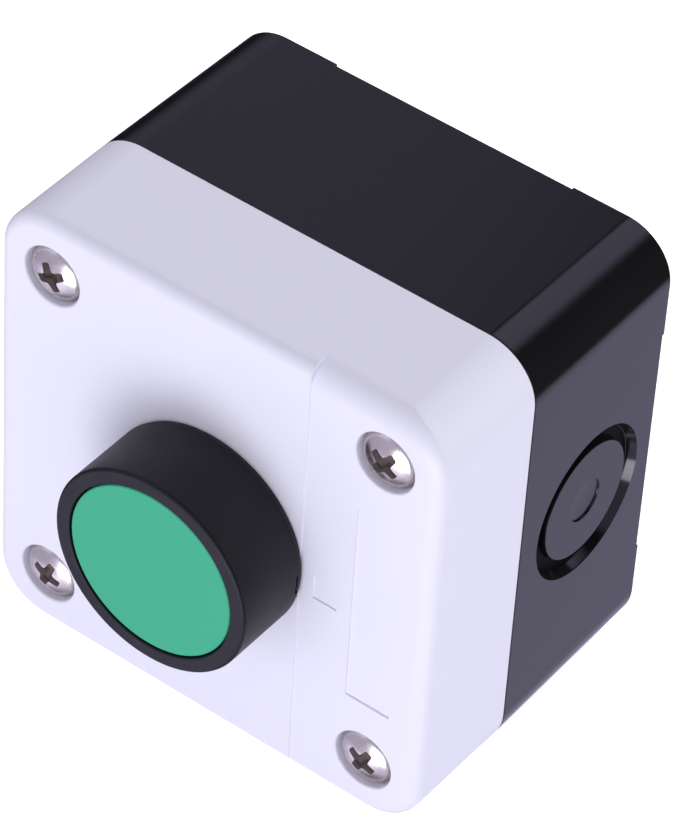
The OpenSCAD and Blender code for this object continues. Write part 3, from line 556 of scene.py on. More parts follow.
def metal(name, tone, roughness, streak, relief, painted_shade=None):
    """Bare or plated metal with fine tool marks. Where an attribute marks it, painted shade darkens it and it
    is rougher.
    """
    material, tree = new_material(name)
    place = add(tree, "ShaderNodeTexCoord").outputs["Object"]
    marks = add(tree, "ShaderNodeTexNoise", {
        "Vector": place, "Scale": 1 / streak, "Detail": 4.0
    }).outputs["Fac"]
    gloss = add(tree, "ShaderNodeMapRange", {
        "Value": marks, "From Min": NOISE_LOW, "From Max": NOISE_HIGH,
        "To Min": roughness * 0.8, "To Max": roughness * 1.25
    }).outputs["Result"]
    seen = add(tree, "ShaderNodeMix", {
        "Factor": marks, "A": (*(c * 0.94 for c in tone), 1), "B": (*tone, 1)
    }, data_type="RGBA").outputs[2]
    # Painted shade: towards the mark the tone darkens to the recess's shade tone, and the roughness rises
    if painted_shade is not None:
        mask = add(tree, "ShaderNodeAttribute", attribute_name=painted_shade).outputs["Fac"]
        seen = add(tree, "ShaderNodeMix", {
            "Factor": mask, "A": seen, "B": (*linear(RECESS_SHADE_TONE), 1)
        }, data_type="RGBA").outputs[2]
        gloss = add(tree, "ShaderNodeMix", {
            "Factor": mask, "A": gloss, "B": RECESS_ROUGHNESS
        }).outputs["Result"]
    bump = add(tree, "ShaderNodeBump", {"Strength": 1.0, "Distance": relief, "Height": marks})
    shader = add(tree, "ShaderNodeBsdfPrincipled", {
        "Base Color": seen, "Metallic": 1.0, "Roughness": gloss, "Normal": bump.outputs["Normal"]
    })
    add(tree, "ShaderNodeOutputMaterial", {"Surface": shader.outputs["BSDF"]})
    return material


def cover_abs(tone):
    """Pale grey-white ABS, moulded in a lightly spark-eroded tool: soft satin sheen, no sharp reflections."""
    return moulded("cover_satin_abs", tone, 0.42, 0.22 * MM, 0.0035 * MM, spread=0.008)


def base_abs(tone):
    """Black ABS, greyed at a slant by its grain. Knockout grooves have a bright wall and a dull floor."""
    return moulded("base_satin_abs", tone, 0.16, 0.12 * MM, 0.0008 * MM, spread=0.12, polish="polish",
                   dull="dull")


def bezel_polyamide(tone):
    """Black glass-filled polyamide, matte, with a slightly mottled skin."""
    return moulded("bezel_matte_polyamide", tone, 0.5, 0.14 * MM, 0.004 * MM, gloss_level=0.3, cloud=6 * MM,
                   spread=0.1)


def cap_abs(tone):
    """Green ABS, matte moulded."""
    return moulded("cap_matte_abs", tone, 0.5, 0.16 * MM, 0.003 * MM, gloss_level=0.3, spread=0.015)


def natural_acetal():
    """Uncoloured acetal: milky, smooth and slightly waxy."""
    return moulded("natural_acetal", linear("#DCD9D2"), 0.35, 0.3 * MM, 0.001 * MM, ior=1.48)


def block_polyamide():
    """Dark grey polyamide of the contact block."""
    return moulded("block_polyamide", linear("#3B3B44"), 0.5, 0.18 * MM, 0.003 * MM, spread=0.06)


def carrier_polyamide():
    """Green polyamide of a normally open contact's slider."""
    return moulded("carrier_polyamide", linear("#3D8F5C"), 0.45, 0.18 * MM, 0.002 * MM)


def seal_nitrile():
    """Black nitrile rubber: dull, with a bloom that clouds it."""
    return moulded("seal_nitrile", linear("#26262A"), 0.62, 0.25 * MM, 0.004 * MM, ior=1.52, cloud=3 * MM,
                   spread=0.2)


def stainless():
    """Cold-headed and tumbled stainless steel: bright, with soft small marks, and painted shade that darkens
    its cross recess.
    """
    return metal("tumbled_stainless", linear("#DDD6CE"), 0.24, 1.2 * MM, 0.0008 * MM, painted_shade="recess")


def spring_wire():
    """Drawn spring wire: greyer than the tumbled steel, with fine marks from the die."""
    return metal("spring_wire", linear("#B9BCC2"), 0.28, 0.8 * MM, 0.001 * MM)


def zinc_plate():
    """Bright zinc plate, a little warmer and duller than stainless."""
    return metal("zinc_plate", linear("#C3C0B4"), 0.3, 0.5 * MM, 0.002 * MM)


def turned_brass():
    """Free-cutting brass with fine turning marks."""
    return metal("turned_brass", linear("#C79A4B"), 0.25, 0.4 * MM, 0.002 * MM)


def silver_contact():
    """Silver contact alloy, coined bright."""
    return metal("silver_contact", linear("#DADADE"), 0.22, 0.5 * MM, 0.001 * MM)


def floor_paint(tone, lift):
    """Plain white paint, lifted by a share of white that only the camera and reflections see."""
    material, tree = new_material("studio_floor")
    diffuse = add(tree, "ShaderNodeBsdfDiffuse", {"Color": (*tone, 1)})
    strength = add(tree, "ShaderNodeMath", {0: white_rays(tree), 1: lift}, operation="MULTIPLY").outputs[0]
    glow = add(tree, "ShaderNodeEmission", {"Color": (1, 1, 1, 1), "Strength": strength})
    both = add(tree, "ShaderNodeAddShader", {0: diffuse.outputs[0], 1: glow.outputs[0]})
    add(tree, "ShaderNodeOutputMaterial", {"Surface": both.outputs[0]})
    return material


def white_rays(tree):
    """1 for the rays of the camera and for those in reflections and clear things, and 0 for the rest."""
    path = add(tree, "ShaderNodeLightPath").outputs
    white = path["Is Camera Ray"]
    for other in ("Is Glossy Ray", "Is Transmission Ray"):
        white = add(tree, "ShaderNodeMath", {0: white, 1: path[other]}, operation="MAXIMUM").outputs[0]
    return white


def knockout_profile(s):
    """Section of a knockout's cut: groove, sunk disc and dimple. Its level is 0 at the side of the box."""
    dimple_slope = 0.05 * MM
    disc_slope = 0.1 * MM
    bevel = 0.3 * MM
    bevel_depth = 0.12 * MM
    return [
        (0, -s.disc_sink - s.dimple_depth, 0),
        (s.dimple_radius, -s.disc_sink - s.dimple_depth, CRISP),
        (s.dimple_radius + dimple_slope, -s.disc_sink, CRISP),
        (s.disc_radius, -s.disc_sink, CRISP),
        (s.disc_radius + disc_slope, -s.groove_depth, SOFT),
        (s.groove_radius - s.groove_slope, -s.groove_depth, SOFT),
        (s.groove_radius, -bevel_depth, 0),
        (s.groove_radius + bevel, bevel - bevel_depth, 0),
        (s.groove_radius + bevel, PAST, 0),
        (0, PAST, 0),
    ]


def counterbore_profile(s):
    """Section of a counterbore's cut: clearance hole, pocket of the seal, and a wall with a soft lip."""
    wall = s.head_radius + s.head_gap
    flare = 1.2 * MM
    # The lip's rounding ends just below the face, and the flare past it rises a little
    lip_drop = 0.02 * MM
    flare_rise = 0.06 * MM
    return [
        (0, SEAM - PAST, 0),
        (s.hole_radius, SEAM - PAST, 0),
        (s.hole_radius, SCREW_SEAL_BACK, 0),
        (s.seal_radius, SCREW_SEAL_BACK, 0),
        (s.seal_radius, SCREW_SEAT, 0),
        (wall, SCREW_SEAT, SOFT),
        (wall, FACE - lip_drop, s.lip),
        (wall + flare, FACE + flare_rise, 0),
        (wall + flare, FACE + PAST, 0),
        (0, FACE + PAST, 0),
    ]


def screw_places(s):
    """The middle of each cover screw with its turn, as seen from the front."""
    at = half_width("cover_screws") - s.head_radius
    return [
        (-at, at, s.turn_top_left),
        (at, at, s.turn_top_right),
        (at, -at, s.turn_bottom_right),
        (-at, -at, s.turn_bottom_left),
    ]


def wall_ribs(name, places, wall, low, high, thickness):
    """Ribs from each screw's pillar or boss to the two walls beside it."""
    ribs = []
    half = thickness / 2
    for number, (x, y, _) in enumerate(places):
        left, right = sorted((x, math.copysign(wall, x)))
        bottom, top = sorted((y, math.copysign(wall, y)))
        ribs.append(block(f"{name}_across_{number}", (left, y - half, low), (right, y + half, high)))
        ribs.append(block(f"{name}_up_{number}", (x - half, bottom, low), (x + half, top, high)))
    return ribs


class CoverShell(bpy.types.Operator):
    """Moulds the cover: a swept shell with bosses, counterbores, the panel hole and the blank fields"""

    bl_idname = "control_box.cover_shell"
    bl_label = "Cover shell"

    def section(self, s, corner):
        """Section of the cover, outwards from the centre of a corner, from the inside to the face."""
        groove_in = corner - s.tongue_inset - s.tongue - s.tongue_gap
        groove_out = corner - s.tongue_inset + s.tongue_gap
        rib_in = groove_in - s.groove_rib
        rim_top = GROOVE_TOP + s.groove_roof
        wall_in = corner - s.cover_wall
        return [
            (CORE, FACE - s.face_wall, 0),
            (wall_in - s.cover_draft, FACE - s.face_wall, s.inner_radius),
            (wall_in, rim_top + wall_in - rib_in, FULL),
            (rib_in, rim_top, SOFT),
            (rib_in, SEAM, SOFT),
            (groove_in, SEAM, EASED),
            (groove_in, GROOVE_TOP, CRISP),
            (groove_out, GROOVE_TOP, CRISP),
            (groove_out, SEAM, EASED),
            (corner, SEAM, s.seam_radius),
            (corner - s.cover_draft, FACE, s.edge_radius),
            (CORE, FACE, 0),
        ]

    def execute(self, context):
        s = context.scene.control_box_housing
        screw = context.scene.control_box_screws
        face = context.scene.control_box_face
        button = context.scene.control_box_button
        half = BOX_HALF - s.corner_radius
        inner_face = FACE - s.face_wall
        places = screw_places(screw)
        cover = swept("cover_shell", self.section(s, s.corner_radius), half, half, steps=20, fillet_steps=8)
        boss_radius = screw.head_radius + screw.head_gap + s.boss_wall
        boss_low = SCREW_SEAT - 2 * s.face_wall
        joined = swept_at("boss", [
            (0, SEAM, 0),
            (s.pillar_radius, SEAM, SOFT),
            (s.pillar_radius, boss_low, 0),
            (boss_radius, boss_low, SOFT),
            (boss_radius, inner_face + PAST, 0),
            (0, inner_face + PAST, 0),
        ], places)
        wall = BOX_HALF - s.cover_wall
        rim = BOX_HALF - s.tongue_inset - s.tongue - s.tongue_gap - s.groove_rib / 2
        joined += wall_ribs("rib", places, wall, GROOVE_TOP + s.groove_roof, inner_face + PAST, s.rib)
        joined += wall_ribs("rim_rib", places, rim, SEAM, GROOVE_TOP + s.groove_roof + PAST, s.rib)
        combine(cover, joined, "UNION")
        cut = swept_at("bore", counterbore_profile(screw), places, steps=20, fillet_steps=8)
        cut.append(swept("panel_hole", rod(button.panel_radius, inner_face - PAST, FACE + PAST), steps=24))
        key_half = button.key_width / 2 + button.key_gap
        key_reach = button.neck_radius + button.key_height + button.key_gap
        cut.append(block("key_slot", (0, -key_half, inner_face - PAST), (key_reach, key_half, FACE + PAST)))
        label_left = places[1][0] - face.label_width / 2
        square_left = (face.strip_start + label_left - face.square_side) / 2
        cut += self.strip(s, face, half)
        cut.append(self.field("label_field", label_left, 0, face.label_width, face.label_length, face))
        side = face.square_side
        cut.append(self.field("square_field", square_left, -face.square_drop, side, side, face))
        combine(cover, cut, "DIFFERENCE")
        shade(cover)
        finish(cover, cover_abs(s.cover_colour), "box", "cover_plastic", "front_cover")
        return {"FINISHED"}

    def strip(self, s, face, half):
        """Cuts of the shallow strip: a step, a gentle rise to the side, a rounder upper edge and a line."""
        start = face.strip_start
        deep = face.strip_depth
        # What the cut leaves stands a hair outside the cover's sides, so that they stay whole
        outside = s.corner_radius + 0.01 * MM
        across = half + face.strip_side
        up = half + face.strip_edge
        pad = swept("strip_pad", [
            (CORE, SEAM, 0),
            (outside, SEAM, 0),
            (outside - s.cover_draft, FACE - deep, face.strip_edge),
            (CORE, FACE - deep, 0),
        ], across, up, at=(0, -face.strip_edge, 0), steps=20, fillet_steps=12)
        rise = deep / (BOX_HALF - s.edge_radius - start)
        pad.data.transform(Matrix(((1, 0, 0, 0), (0, 1, 0, 0), (rise, 0, 1, -rise * start), (0, 0, 0, 1))))
        wall_end = start + face.strip_slope
        strip = prism("strip", [
            (start, FACE + FIT),
            (wall_end, FACE - deep),
            (wall_end, FACE - 2 * s.face_wall),
            (BOX_HALF + PAST, FACE - 2 * s.face_wall),
            (BOX_HALF + PAST, FACE + PAST),
            (start, FACE + PAST),
        ], -BOX_HALF - PAST, BOX_HALF + PAST)
        combine(strip, [pad], "DIFFERENCE")
        line = prism("strip_line", [
            (start, FACE + FIT),
            (wall_end, FACE - deep - face.line_depth),
            (start + face.line_width, FACE - deep),
            (start + face.line_width, FACE + FIT),
        ], -BOX_HALF - PAST, BOX_HALF + PAST)
        return [strip, line]

    def field(self, name, left, middle, width, height, face):
        """Cut of a shallow blank field with rounded corners and a slightly sloping wall."""
        corner = face.field_corner
        slope = face.field_slope
        low = FACE - face.field_depth
        high = FACE + face.field_depth
        section = [
            (0, low, 0),
            (corner - slope, low, face.field_rounding),
            (corner + slope, high, 0),
            (0, high, 0),
        ]
        at = (left + width / 2, middle, 0)
        return swept(name, section, width / 2 - corner, height / 2 - corner, steps=6, at=at, fillet_steps=3)


class BaseShell(bpy.types.Operator):
    """Moulds the base: a swept shell with pads, pillars, fixing bosses and the two knockouts"""

    bl_idname = "control_box.base_shell"
    bl_label = "Base shell"

    def section(self, s, corner):
        """Section of the base, outwards from the centre of a corner, from the floor round to the back."""
        floor = s.pad_height + s.rear_wall
        inner = corner - s.tongue_inset - s.tongue
        # Roundings of the tongue's tip
        tip_inside = 0.25 * MM
        tip_outside = 0.35 * MM
        return [
            (CORE, floor, 0),
            (inner - s.base_draft, floor, s.floor_radius),
            (inner, TONGUE_TOP, tip_inside),
            (corner - s.tongue_inset, TONGUE_TOP, tip_outside),
            (corner - s.tongue_inset, SEAM, CRISP),
            (corner, SEAM, s.seam_radius),
            (corner - s.base_draft, 0, s.rear_radius),
            (CORE, 0, 0),
        ]

    def execute(self, context):
        s = context.scene.control_box_housing
        screw = context.scene.control_box_screws
        knockout = context.scene.control_box_knockout
        half = BOX_HALF - s.corner_radius
        floor = s.pad_height + s.rear_wall
        places = screw_places(screw)
        fixing = BOX_HALF - s.fixing_inset
        fixings = ((0, -fixing), (0, fixing))
        # Pillars, bosses and ribs start inside the base's back, so that they join it
        root = 1 * MM
        base = swept("base_shell", self.section(s, s.corner_radius), half, half, steps=20, fillet_steps=6)
        joined = swept_at("pillar", rod(s.pillar_radius, root, SEAM, SOFT), places)
        wall = BOX_HALF - s.tongue_inset - s.tongue / 2
        tongue_height = TONGUE_TOP - SEAM
        joined += wall_ribs("pillar_rib", places, wall, root, SEAM - tongue_height, s.rib)
        boss_top = floor + s.fixing_boss_height
        joined += swept_at("fixing_boss", rod(s.fixing_boss_radius, root, boss_top, FULL), fixings)
        for number, side in enumerate((-1, 1)):
            y = side * s.floor_rib_spacing / 2
            low = (-places[1][0], y - s.rib / 2, root)
            high = (places[1][0], y + s.rib / 2, floor + s.floor_rib_height)
            joined.append(block(f"floor_rib_{number}", low, high))
        combine(base, joined, "UNION")
        cross = BOX_HALF - s.pad_length
        hollow = block("back_upright", (-cross, -BOX_HALF * 2, -PAST), (cross, BOX_HALF * 2, s.pad_height))
        across = block("back_across", (-BOX_HALF * 2, -cross, -PAST), (BOX_HALF * 2, cross, s.pad_height))
        combine(hollow, [across], "UNION")
        kept = rod(s.fixing_boss_radius, -2 * PAST, 2 * PAST)
        combine(hollow, swept_at("kept", kept, fixings), "DIFFERENCE")
        well = [
            (0, SCREW_TIP - s.screw_end_room, 0),
            (screw.hole_radius, SCREW_TIP - s.screw_end_room, 0),
            (screw.hole_radius, INSERT_BACK, 0),
            (screw.insert_radius, INSERT_BACK, 0),
            (screw.insert_radius, SEAM + PAST, 0),
            (0, SEAM + PAST, 0),
        ]
        cut = [hollow]
        cut += swept_at("well", well, places, steps=10)
        cut += swept_at("fixing", rod(s.fixing_radius, -PAST, boss_top + PAST), fixings, steps=12)
        reach = BOX_HALF - s.base_draft * (1 - knockout.height / SEAM)
        profile = knockout_profile(knockout)
        for number, side in enumerate((1, -1)):
            facing = Matrix.Rotation(math.radians(90 * side), 4, "Y")
            at = (side * reach, 0, knockout.height)
            cut.append(swept(f"knockout_{number}", profile, steps=32, at=at, turned=facing, fillet_steps=8))
        combine(base, cut, "DIFFERENCE")
        shade(base)
        self.mark_polish(base, knockout, reach)
        finish(base, base_abs(s.base_colour), "box", "base_plastic", "rear_base")
        return {"FINISHED"}

    def mark_polish(self, base, s, reach):
        """Marks the grooves: the mould maker polished their outer wall and left their floor unfinished."""
        mesh = base.data
        # Both are looked up once they exist, since adding an attribute moves the others
        for name in ("dull", "polish"):
            mesh.attributes.new(name, "FLOAT", "FACE")
        dull, polish = (mesh.attributes[name].data for name in ("dull", "polish"))
        near = 0.02 * MM
        outermost = s.groove_radius + 0.28 * MM
        for face in mesh.polygons:
            from_axis = math.hypot(face.center.y, face.center.z - s.height)
            below = reach - abs(face.center.x)
            in_ring = s.disc_radius - near < from_axis < outermost
            in_groove = in_ring and -FULL < below < 2 * s.groove_depth
            on_wall = from_axis > s.groove_radius - s.groove_slope - near
            polish[face.index].value = float(in_groove and on_wall)
            dull[face.index].value = float(in_groove and not on_wall and below > s.disc_sink + FULL)


class ButtonBezel(bpy.types.Operator):
    """Turns the bezel with its neck, key, lugs and the small notch in its rear edge"""

    bl_idname = "control_box.button_bezel"
    bl_label = "Button bezel"

    def execute(self, context):
        s = context.scene.control_box_button
        bore = CAP_RADIUS + s.cap_gap
        floor = BEZEL_BACK + s.bezel_floor
        guide = s.stem_radius + s.stem_gap
        neck_lead = 0.4 * MM
        section = [
            (guide, NECK_END, 0),
            (s.neck_radius, NECK_END, neck_lead),
            (s.neck_radius, BEZEL_BACK, 0),
            (BEZEL_RADIUS, BEZEL_BACK, EASED),
            (BEZEL_RADIUS, RIM, s.rim_radius),
            (bore, RIM, s.bore_rounding),
            (bore, floor, SOFT),
            (s.chamber_radius, floor, SOFT),
            (s.chamber_radius, SPRING_SEAT, SOFT),
            (guide, SPRING_SEAT, SOFT),
            (guide, STEM_SEAL_FRONT, 0),
            (STEM_SEAL_RADIUS, STEM_SEAL_FRONT, 0),
            (STEM_SEAL_RADIUS, STEM_SEAL_BACK, 0),
            (guide, STEM_SEAL_BACK, 0),
            (guide, NECK_END, 0),
        ]
        bezel = swept("button_bezel_shell", section, steps=36, fillet_steps=6)
        inner_face = FACE - context.scene.control_box_housing.face_wall
        reach = s.neck_radius + s.key_height
        half = s.key_width / 2
        joined = [block("key", (s.neck_radius - PAST, -half, inner_face), (reach, half, BEZEL_BACK + FIT))]
        for number, middle in enumerate((0, 180)):
            joined.append(self.lug(f"lug_{number}", s, math.radians(middle)))
        combine(bezel, joined, "UNION")
        low = (BEZEL_RADIUS - s.notch_depth, -s.notch_width / 2, BEZEL_BACK - PAST)
        high = (BEZEL_RADIUS + PAST, s.notch_width / 2, BEZEL_BACK + s.notch_height)
        combine(bezel, [block("notch", low, high, Matrix.Rotation(s.notch_turn, 4, "Z"))], "DIFFERENCE")
        shade(bezel)
        finish(bezel, bezel_polyamide(s.bezel_colour), "box", "bezel_plastic", "button_bezel")
        return {"FINISHED"}

    def lug(self, name, s, middle, steps=12):
        """One bayonet lug: a sector of a ring near the end of the neck."""
        low = NECK_END + s.lug_lead
        high = low + s.lug_thickness
        bm = bmesh.new()
        rings = []
        for step in range(steps + 1):
            angle = middle + s.lug_spread * (step / steps - 0.5)
            corners = []
            for reach, level in (
                (s.neck_radius - PAST, low),
                (s.neck_radius + s.lug_height, low),
                (s.neck_radius + s.lug_height, high),
                (s.neck_radius - PAST, high),
            ):
                corners.append(bm.verts.new((reach * math.cos(angle), reach * math.sin(angle), level)))
            rings.append(corners)
        join_rings(bm, rings)
        bm.faces.new(rings[0])
        bm.faces.new(rings[-1])
        clean(bm)
        return new_object(name, bm)


class BezelGasket(bpy.types.Operator):
    """Turns the flat seal under the bezel, with a slot for the key and a bulging edge"""

    bl_idname = "control_box.bezel_gasket"
    bl_label = "Bezel gasket"

    def execute(self, context):
        s = context.scene.control_box_button
        inner = s.neck_radius + FIT
        middle = (FACE + BEZEL_BACK) / 2
        bulge = 0.06 * MM
        bulge_radius = 0.4 * MM
        section = [
            (inner, FACE, 0),
            (GASKET_RADIUS - bulge, FACE, 0),
            (GASKET_RADIUS, middle, bulge_radius),
            (GASKET_RADIUS - bulge, BEZEL_BACK, 0),
            (inner, BEZEL_BACK, 0),
            (inner, FACE, 0),
        ]
        gasket = swept("bezel_gasket_ring", section, steps=32)
        half = s.key_width / 2 + s.key_gap
        reach = s.neck_radius + s.key_height + s.key_gap
        slot = block("slot", (0, -half, FACE - PAST), (reach, half, BEZEL_BACK + PAST))
        combine(gasket, [slot], "DIFFERENCE")
        shade(gasket)
        finish(gasket, seal_nitrile(), "box", "seal_rubber", "bezel_gasket")
        return {"FINISHED"}


class ButtonCap(bpy.types.Operator):
    """Turns the flat green cap with its skirt"""

    bl_idname = "control_box.button_cap"
    bl_label = "Button cap"

    def execute(self, context):
        s = context.scene.control_box_button
        inner = CAP_RADIUS - s.cap_skirt
        under = CAP_TOP - s.cap_face
        section = [
            (0, under, 0),
            (inner, under, SOFT),
            (inner, CAP_SKIRT, EASED),
            (CAP_RADIUS, CAP_SKIRT, EASED),
            (CAP_RADIUS, CAP_TOP, s.cap_rounding),
            (0, CAP_TOP, 0),
        ]
        cap = swept("button_cap_disc", section, steps=32)
        shade(cap)
        finish(cap, cap_abs(s.cap_colour), "button", "cap_plastic", "button_cap")
        return {"FINISHED"}


def new_tree(name, inputs):
    """A geometry node tree with named inputs and a Finish, and what they give. It has one output, Made."""
    tree = bpy.data.node_groups.new(name, "GeometryNodeTree")
    for key, kind in (*inputs, ("Finish", "Material")):
        tree.interface.new_socket(name=key, in_out="INPUT", socket_type="NodeSocket" + kind)
    tree.interface.new_socket(name="Made", in_out="OUTPUT", socket_type="NodeSocketGeometry")
    return tree, add(tree, "NodeGroupInput").outputs


def end_tree(tree, geometry, material):
    """Makes real meshes of a tree's geometry and gives them their material."""
    real = add(tree, "GeometryNodeRealizeInstances", {"Geometry": geometry}).outputs["Geometry"]
    done = add(tree, "GeometryNodeSetMaterial", {"Geometry": real, "Material": material}).outputs["Geometry"]
    add(tree, "NodeGroupOutput", {"Made": done})
    return tree


def copies_tree():
    """Geometry nodes that put a turned copy of one object at each point."""
    tree, given = new_tree("copies at points", (("Places", "Geometry"), ("Piece", "Object")))
    piece = add(tree, "GeometryNodeObjectInfo", {"Object": given["Piece"]}).outputs["Geometry"]
    turned = add(tree, "GeometryNodeInputNamedAttribute", {"Name": "turn"}, data_type="FLOAT")
    angles = add(tree, "ShaderNodeCombineXYZ", {"Z": turned.outputs["Attribute"]}).outputs["Vector"]
    placed = add(tree, "GeometryNodeInstanceOnPoints", {
        "Points": given["Places"], "Instance": piece, "Rotation": angles
    }).outputs["Instances"]
    return end_tree(tree, placed, given["Finish"])


def ridges_tree():
    """Geometry nodes that stand a number of straight ridges round a ring."""
    tree, given = new_tree("ridges round a ring", (
        ("Ring", "Geometry"), ("Ridges", "Int"), ("Radius", "Float"), ("Ridge Size", "Vector"),
        ("Level", "Float")
    ))
    circle = add(tree, "GeometryNodeMeshCircle", {"Vertices": given["Ridges"], "Radius": given["Radius"]})
    ridge = add(tree, "GeometryNodeMeshCube", {"Size": given["Ridge Size"]})
    number = add(tree, "GeometryNodeInputIndex").outputs["Index"]
    share = add(tree, "ShaderNodeMath", {0: number, 1: given["Ridges"]}, operation="DIVIDE").outputs[0]
    angle = add(tree, "ShaderNodeMath", {0: share, 1: math.tau}, operation="MULTIPLY").outputs[0]
    angles = add(tree, "ShaderNodeCombineXYZ", {"Z": angle}).outputs["Vector"]
    placed = add(tree, "GeometryNodeInstanceOnPoints", {
        "Points": circle.outputs["Mesh"], "Instance": ridge.outputs["Mesh"], "Rotation": angles
    }).outputs["Instances"]
    lift = add(tree, "ShaderNodeCombineXYZ", {"Z": given["Level"]}).outputs["Vector"]
    moved = add(tree, "GeometryNodeTransform", {"Geometry": placed, "Translation": lift}).outputs["Geometry"]
    joined = add(tree, "GeometryNodeJoinGeometry")
    tree.links.new(moved, joined.inputs[0])
    tree.links.new(given["Ring"], joined.inputs[0])
    return end_tree(tree, joined.outputs["Geometry"], given["Finish"])


# Rise of a spring's closed end turn in wire radii, points along one turn, and sides of the wire
CLOSED_RISE = 2.16
POINTS_PER_TURN = 40.0
WIRE_SIDES = 12


def coil_tree():
    """Geometry nodes for a compression spring: closed turns at both ends and even turns between them."""
    floats = [(name, "Float") for name in ("Mean Radius", "Wire Radius", "Turns", "Length", "Level")]
    tree, given = new_tree("coil spring", (("Seat", "Geometry"), *floats))
    share = add(tree, "GeometryNodeSplineParameter").outputs["Factor"]
    got = {"share": share, **{name: given[name] for name, _ in floats}}
    # Each value, and what a maths node makes it of
    for name, operation, *terms in (
        ("along", "MULTIPLY", "share", "Turns"),
        ("angle", "MULTIPLY", "along", math.tau),
        ("flat", "MULTIPLY", "Wire Radius", CLOSED_RISE),
        ("last", "SUBTRACT", "Turns", 1.0),
        ("wire", "MULTIPLY", "Wire Radius", 2.0),
        ("both flats", "MULTIPLY", "flat", 2.0),
        ("climb", "SUBTRACT", "Length", "wire"),
        ("even climb", "SUBTRACT", "climb", "both flats"),
        ("even turns", "SUBTRACT", "Turns", 2.0),
        ("rise", "DIVIDE", "even climb", "even turns"),
        ("in first", "MINIMUM", "along", 1.0),
        ("past last", "SUBTRACT", "along", "last"),
        ("in last", "MAXIMUM", "past last", 0.0),
        ("up to last", "MINIMUM", "along", "last"),
        ("past first", "SUBTRACT", "up to last", 1.0),
        ("in even", "MAXIMUM", "past first", 0.0),
        ("first part", "MULTIPLY", "flat", "in first"),
        ("last part", "MULTIPLY", "flat", "in last"),
        ("even part", "MULTIPLY", "in even", "rise"),
        ("flat parts", "ADD", "first part", "last part"),
        ("climbed", "ADD", "flat parts", "even part"),
        ("above seat", "ADD", "climbed", "Wire Radius"),
        ("Z", "ADD", "above seat", "Level"),
        ("cosine", "COSINE", "angle"),
        ("sine", "SINE", "angle"),
        ("X", "MULTIPLY", "cosine", "Mean Radius"),
        ("Y", "MULTIPLY", "sine", "Mean Radius"),
        ("count", "MULTIPLY", "Turns", POINTS_PER_TURN),
    ):
        values = {at: got.get(term, term) for at, term in enumerate(terms)}
        got[name] = add(tree, "ShaderNodeMath", values, operation=operation).outputs[0]
    place = add(tree, "ShaderNodeCombineXYZ", {axis: got[axis] for axis in "XYZ"}).outputs["Vector"]
    line = add(tree, "GeometryNodeCurvePrimitiveLine").outputs["Curve"]
    points = add(tree, "GeometryNodeResampleCurve", {"Curve": line, "Count": got["count"]}).outputs["Curve"]
    coil = add(tree, "GeometryNodeSetPosition", {"Geometry": points, "Position": place}).outputs["Geometry"]
    ring = add(tree, "GeometryNodeCurvePrimitiveCircle", {
        "Resolution": WIRE_SIDES, "Radius": given["Wire Radius"]
    })
    wire = add(tree, "GeometryNodeCurveToMesh", {
        "Curve": coil, "Profile Curve": ring.outputs["Curve"], "Fill Caps": True
    }).outputs["Mesh"]
    return end_tree(tree, wire, given["Finish"])


def grown(name, mesh, tree, inputs):
    """An object whose mesh is what a geometry node tree makes, with the tree's inputs set by name."""
    made = bpy.data.objects.new(name, mesh)
    bpy.context.scene.collection.objects.link(made)
    modifier = made.modifiers.new(tree.name, "NODES")
    modifier.node_group = tree
    sockets = {item.name: item.identifier for item in tree.interface.items_tree if item.in_out == "INPUT"}
    for key, value in inputs.items():
        modifier[sockets[key]] = value
    bake(made)
    return made


def places_mesh(places):
    """Loose points with their turns, for the copies."""
    mesh = bpy.data.meshes.new("places")
    mesh.from_pydata([(x, y, z) for x, y, z, _ in places], [], [])
    turns = mesh.attributes.new("turn", "FLOAT", "POINT")
    for number, (_, _, _, angle) in enumerate(places):
        turns.data[number].value = angle
    return mesh


def ball_radius(radius, rise):
    """Radius of the ball whose cap is a dome of a given radius and rise."""
    return (radius * radius + rise * rise) / (2 * rise)


def copied(name, piece, places, material):
    """Turned copies of a piece at the given places, as one object. The piece itself is removed."""
    copies = grown(name, places_mesh(places), copies_tree(), {"Piece": piece, "Finish": material})
    bpy.data.objects.remove(piece)
    return copies


def dome_level(reach, radius, rise, top):
    """Level of a domed head's surface at a distance from its axis."""
    ball = ball_radius(radius, rise)
    return top - ball + math.sqrt(ball * ball - reach * reach)


# Thread depth in pitches, the power that shapes its flanks, and the share of its depth that the tip tapers by
THREAD_DEPTH = 0.54
FLANK_POWER = 0.8
TIP_TAPER = 0.9


def screw_body(name, head, thread_radius, pitch, tip, under, steps=48, rows=6):
    """A screw in one closed surface: a head section on top of a shank with a helical thread."""
    depth = THREAD_DEPTH * pitch
    bm = bmesh.new()
    rings = []
    angles = [math.tau * step / steps for step in range(steps)]
    count = round((under - tip) / pitch * rows)
    for row in range(count + 1):
        level = tip + (under - tip) * row / count
        fade = min(1.0, (level - tip) / pitch, (under - level) / pitch)
        ring = []
        for step, angle in enumerate(angles):
            phase = (level / pitch - step / steps) % 1.0
            fall = abs(2 * phase - 1) ** FLANK_POWER
            taper = depth * TIP_TAPER * (1 - min(1.0, (level - tip) / pitch))
            radius = thread_radius - depth * fall * fade - taper
            ring.append(bm.verts.new((radius * math.cos(angle), radius * math.sin(angle), level)))
        rings.append(ring)
    for reach, level in head:
        rings.append([
            bm.verts.new((reach * math.cos(angle), reach * math.sin(angle), level)) for angle in angles
        ])
    join_rings(bm, rings)
    bm.faces.new(rings[0])
    bm.faces.new(rings[-1])
    clean(bm)
    return new_object(name, bm)


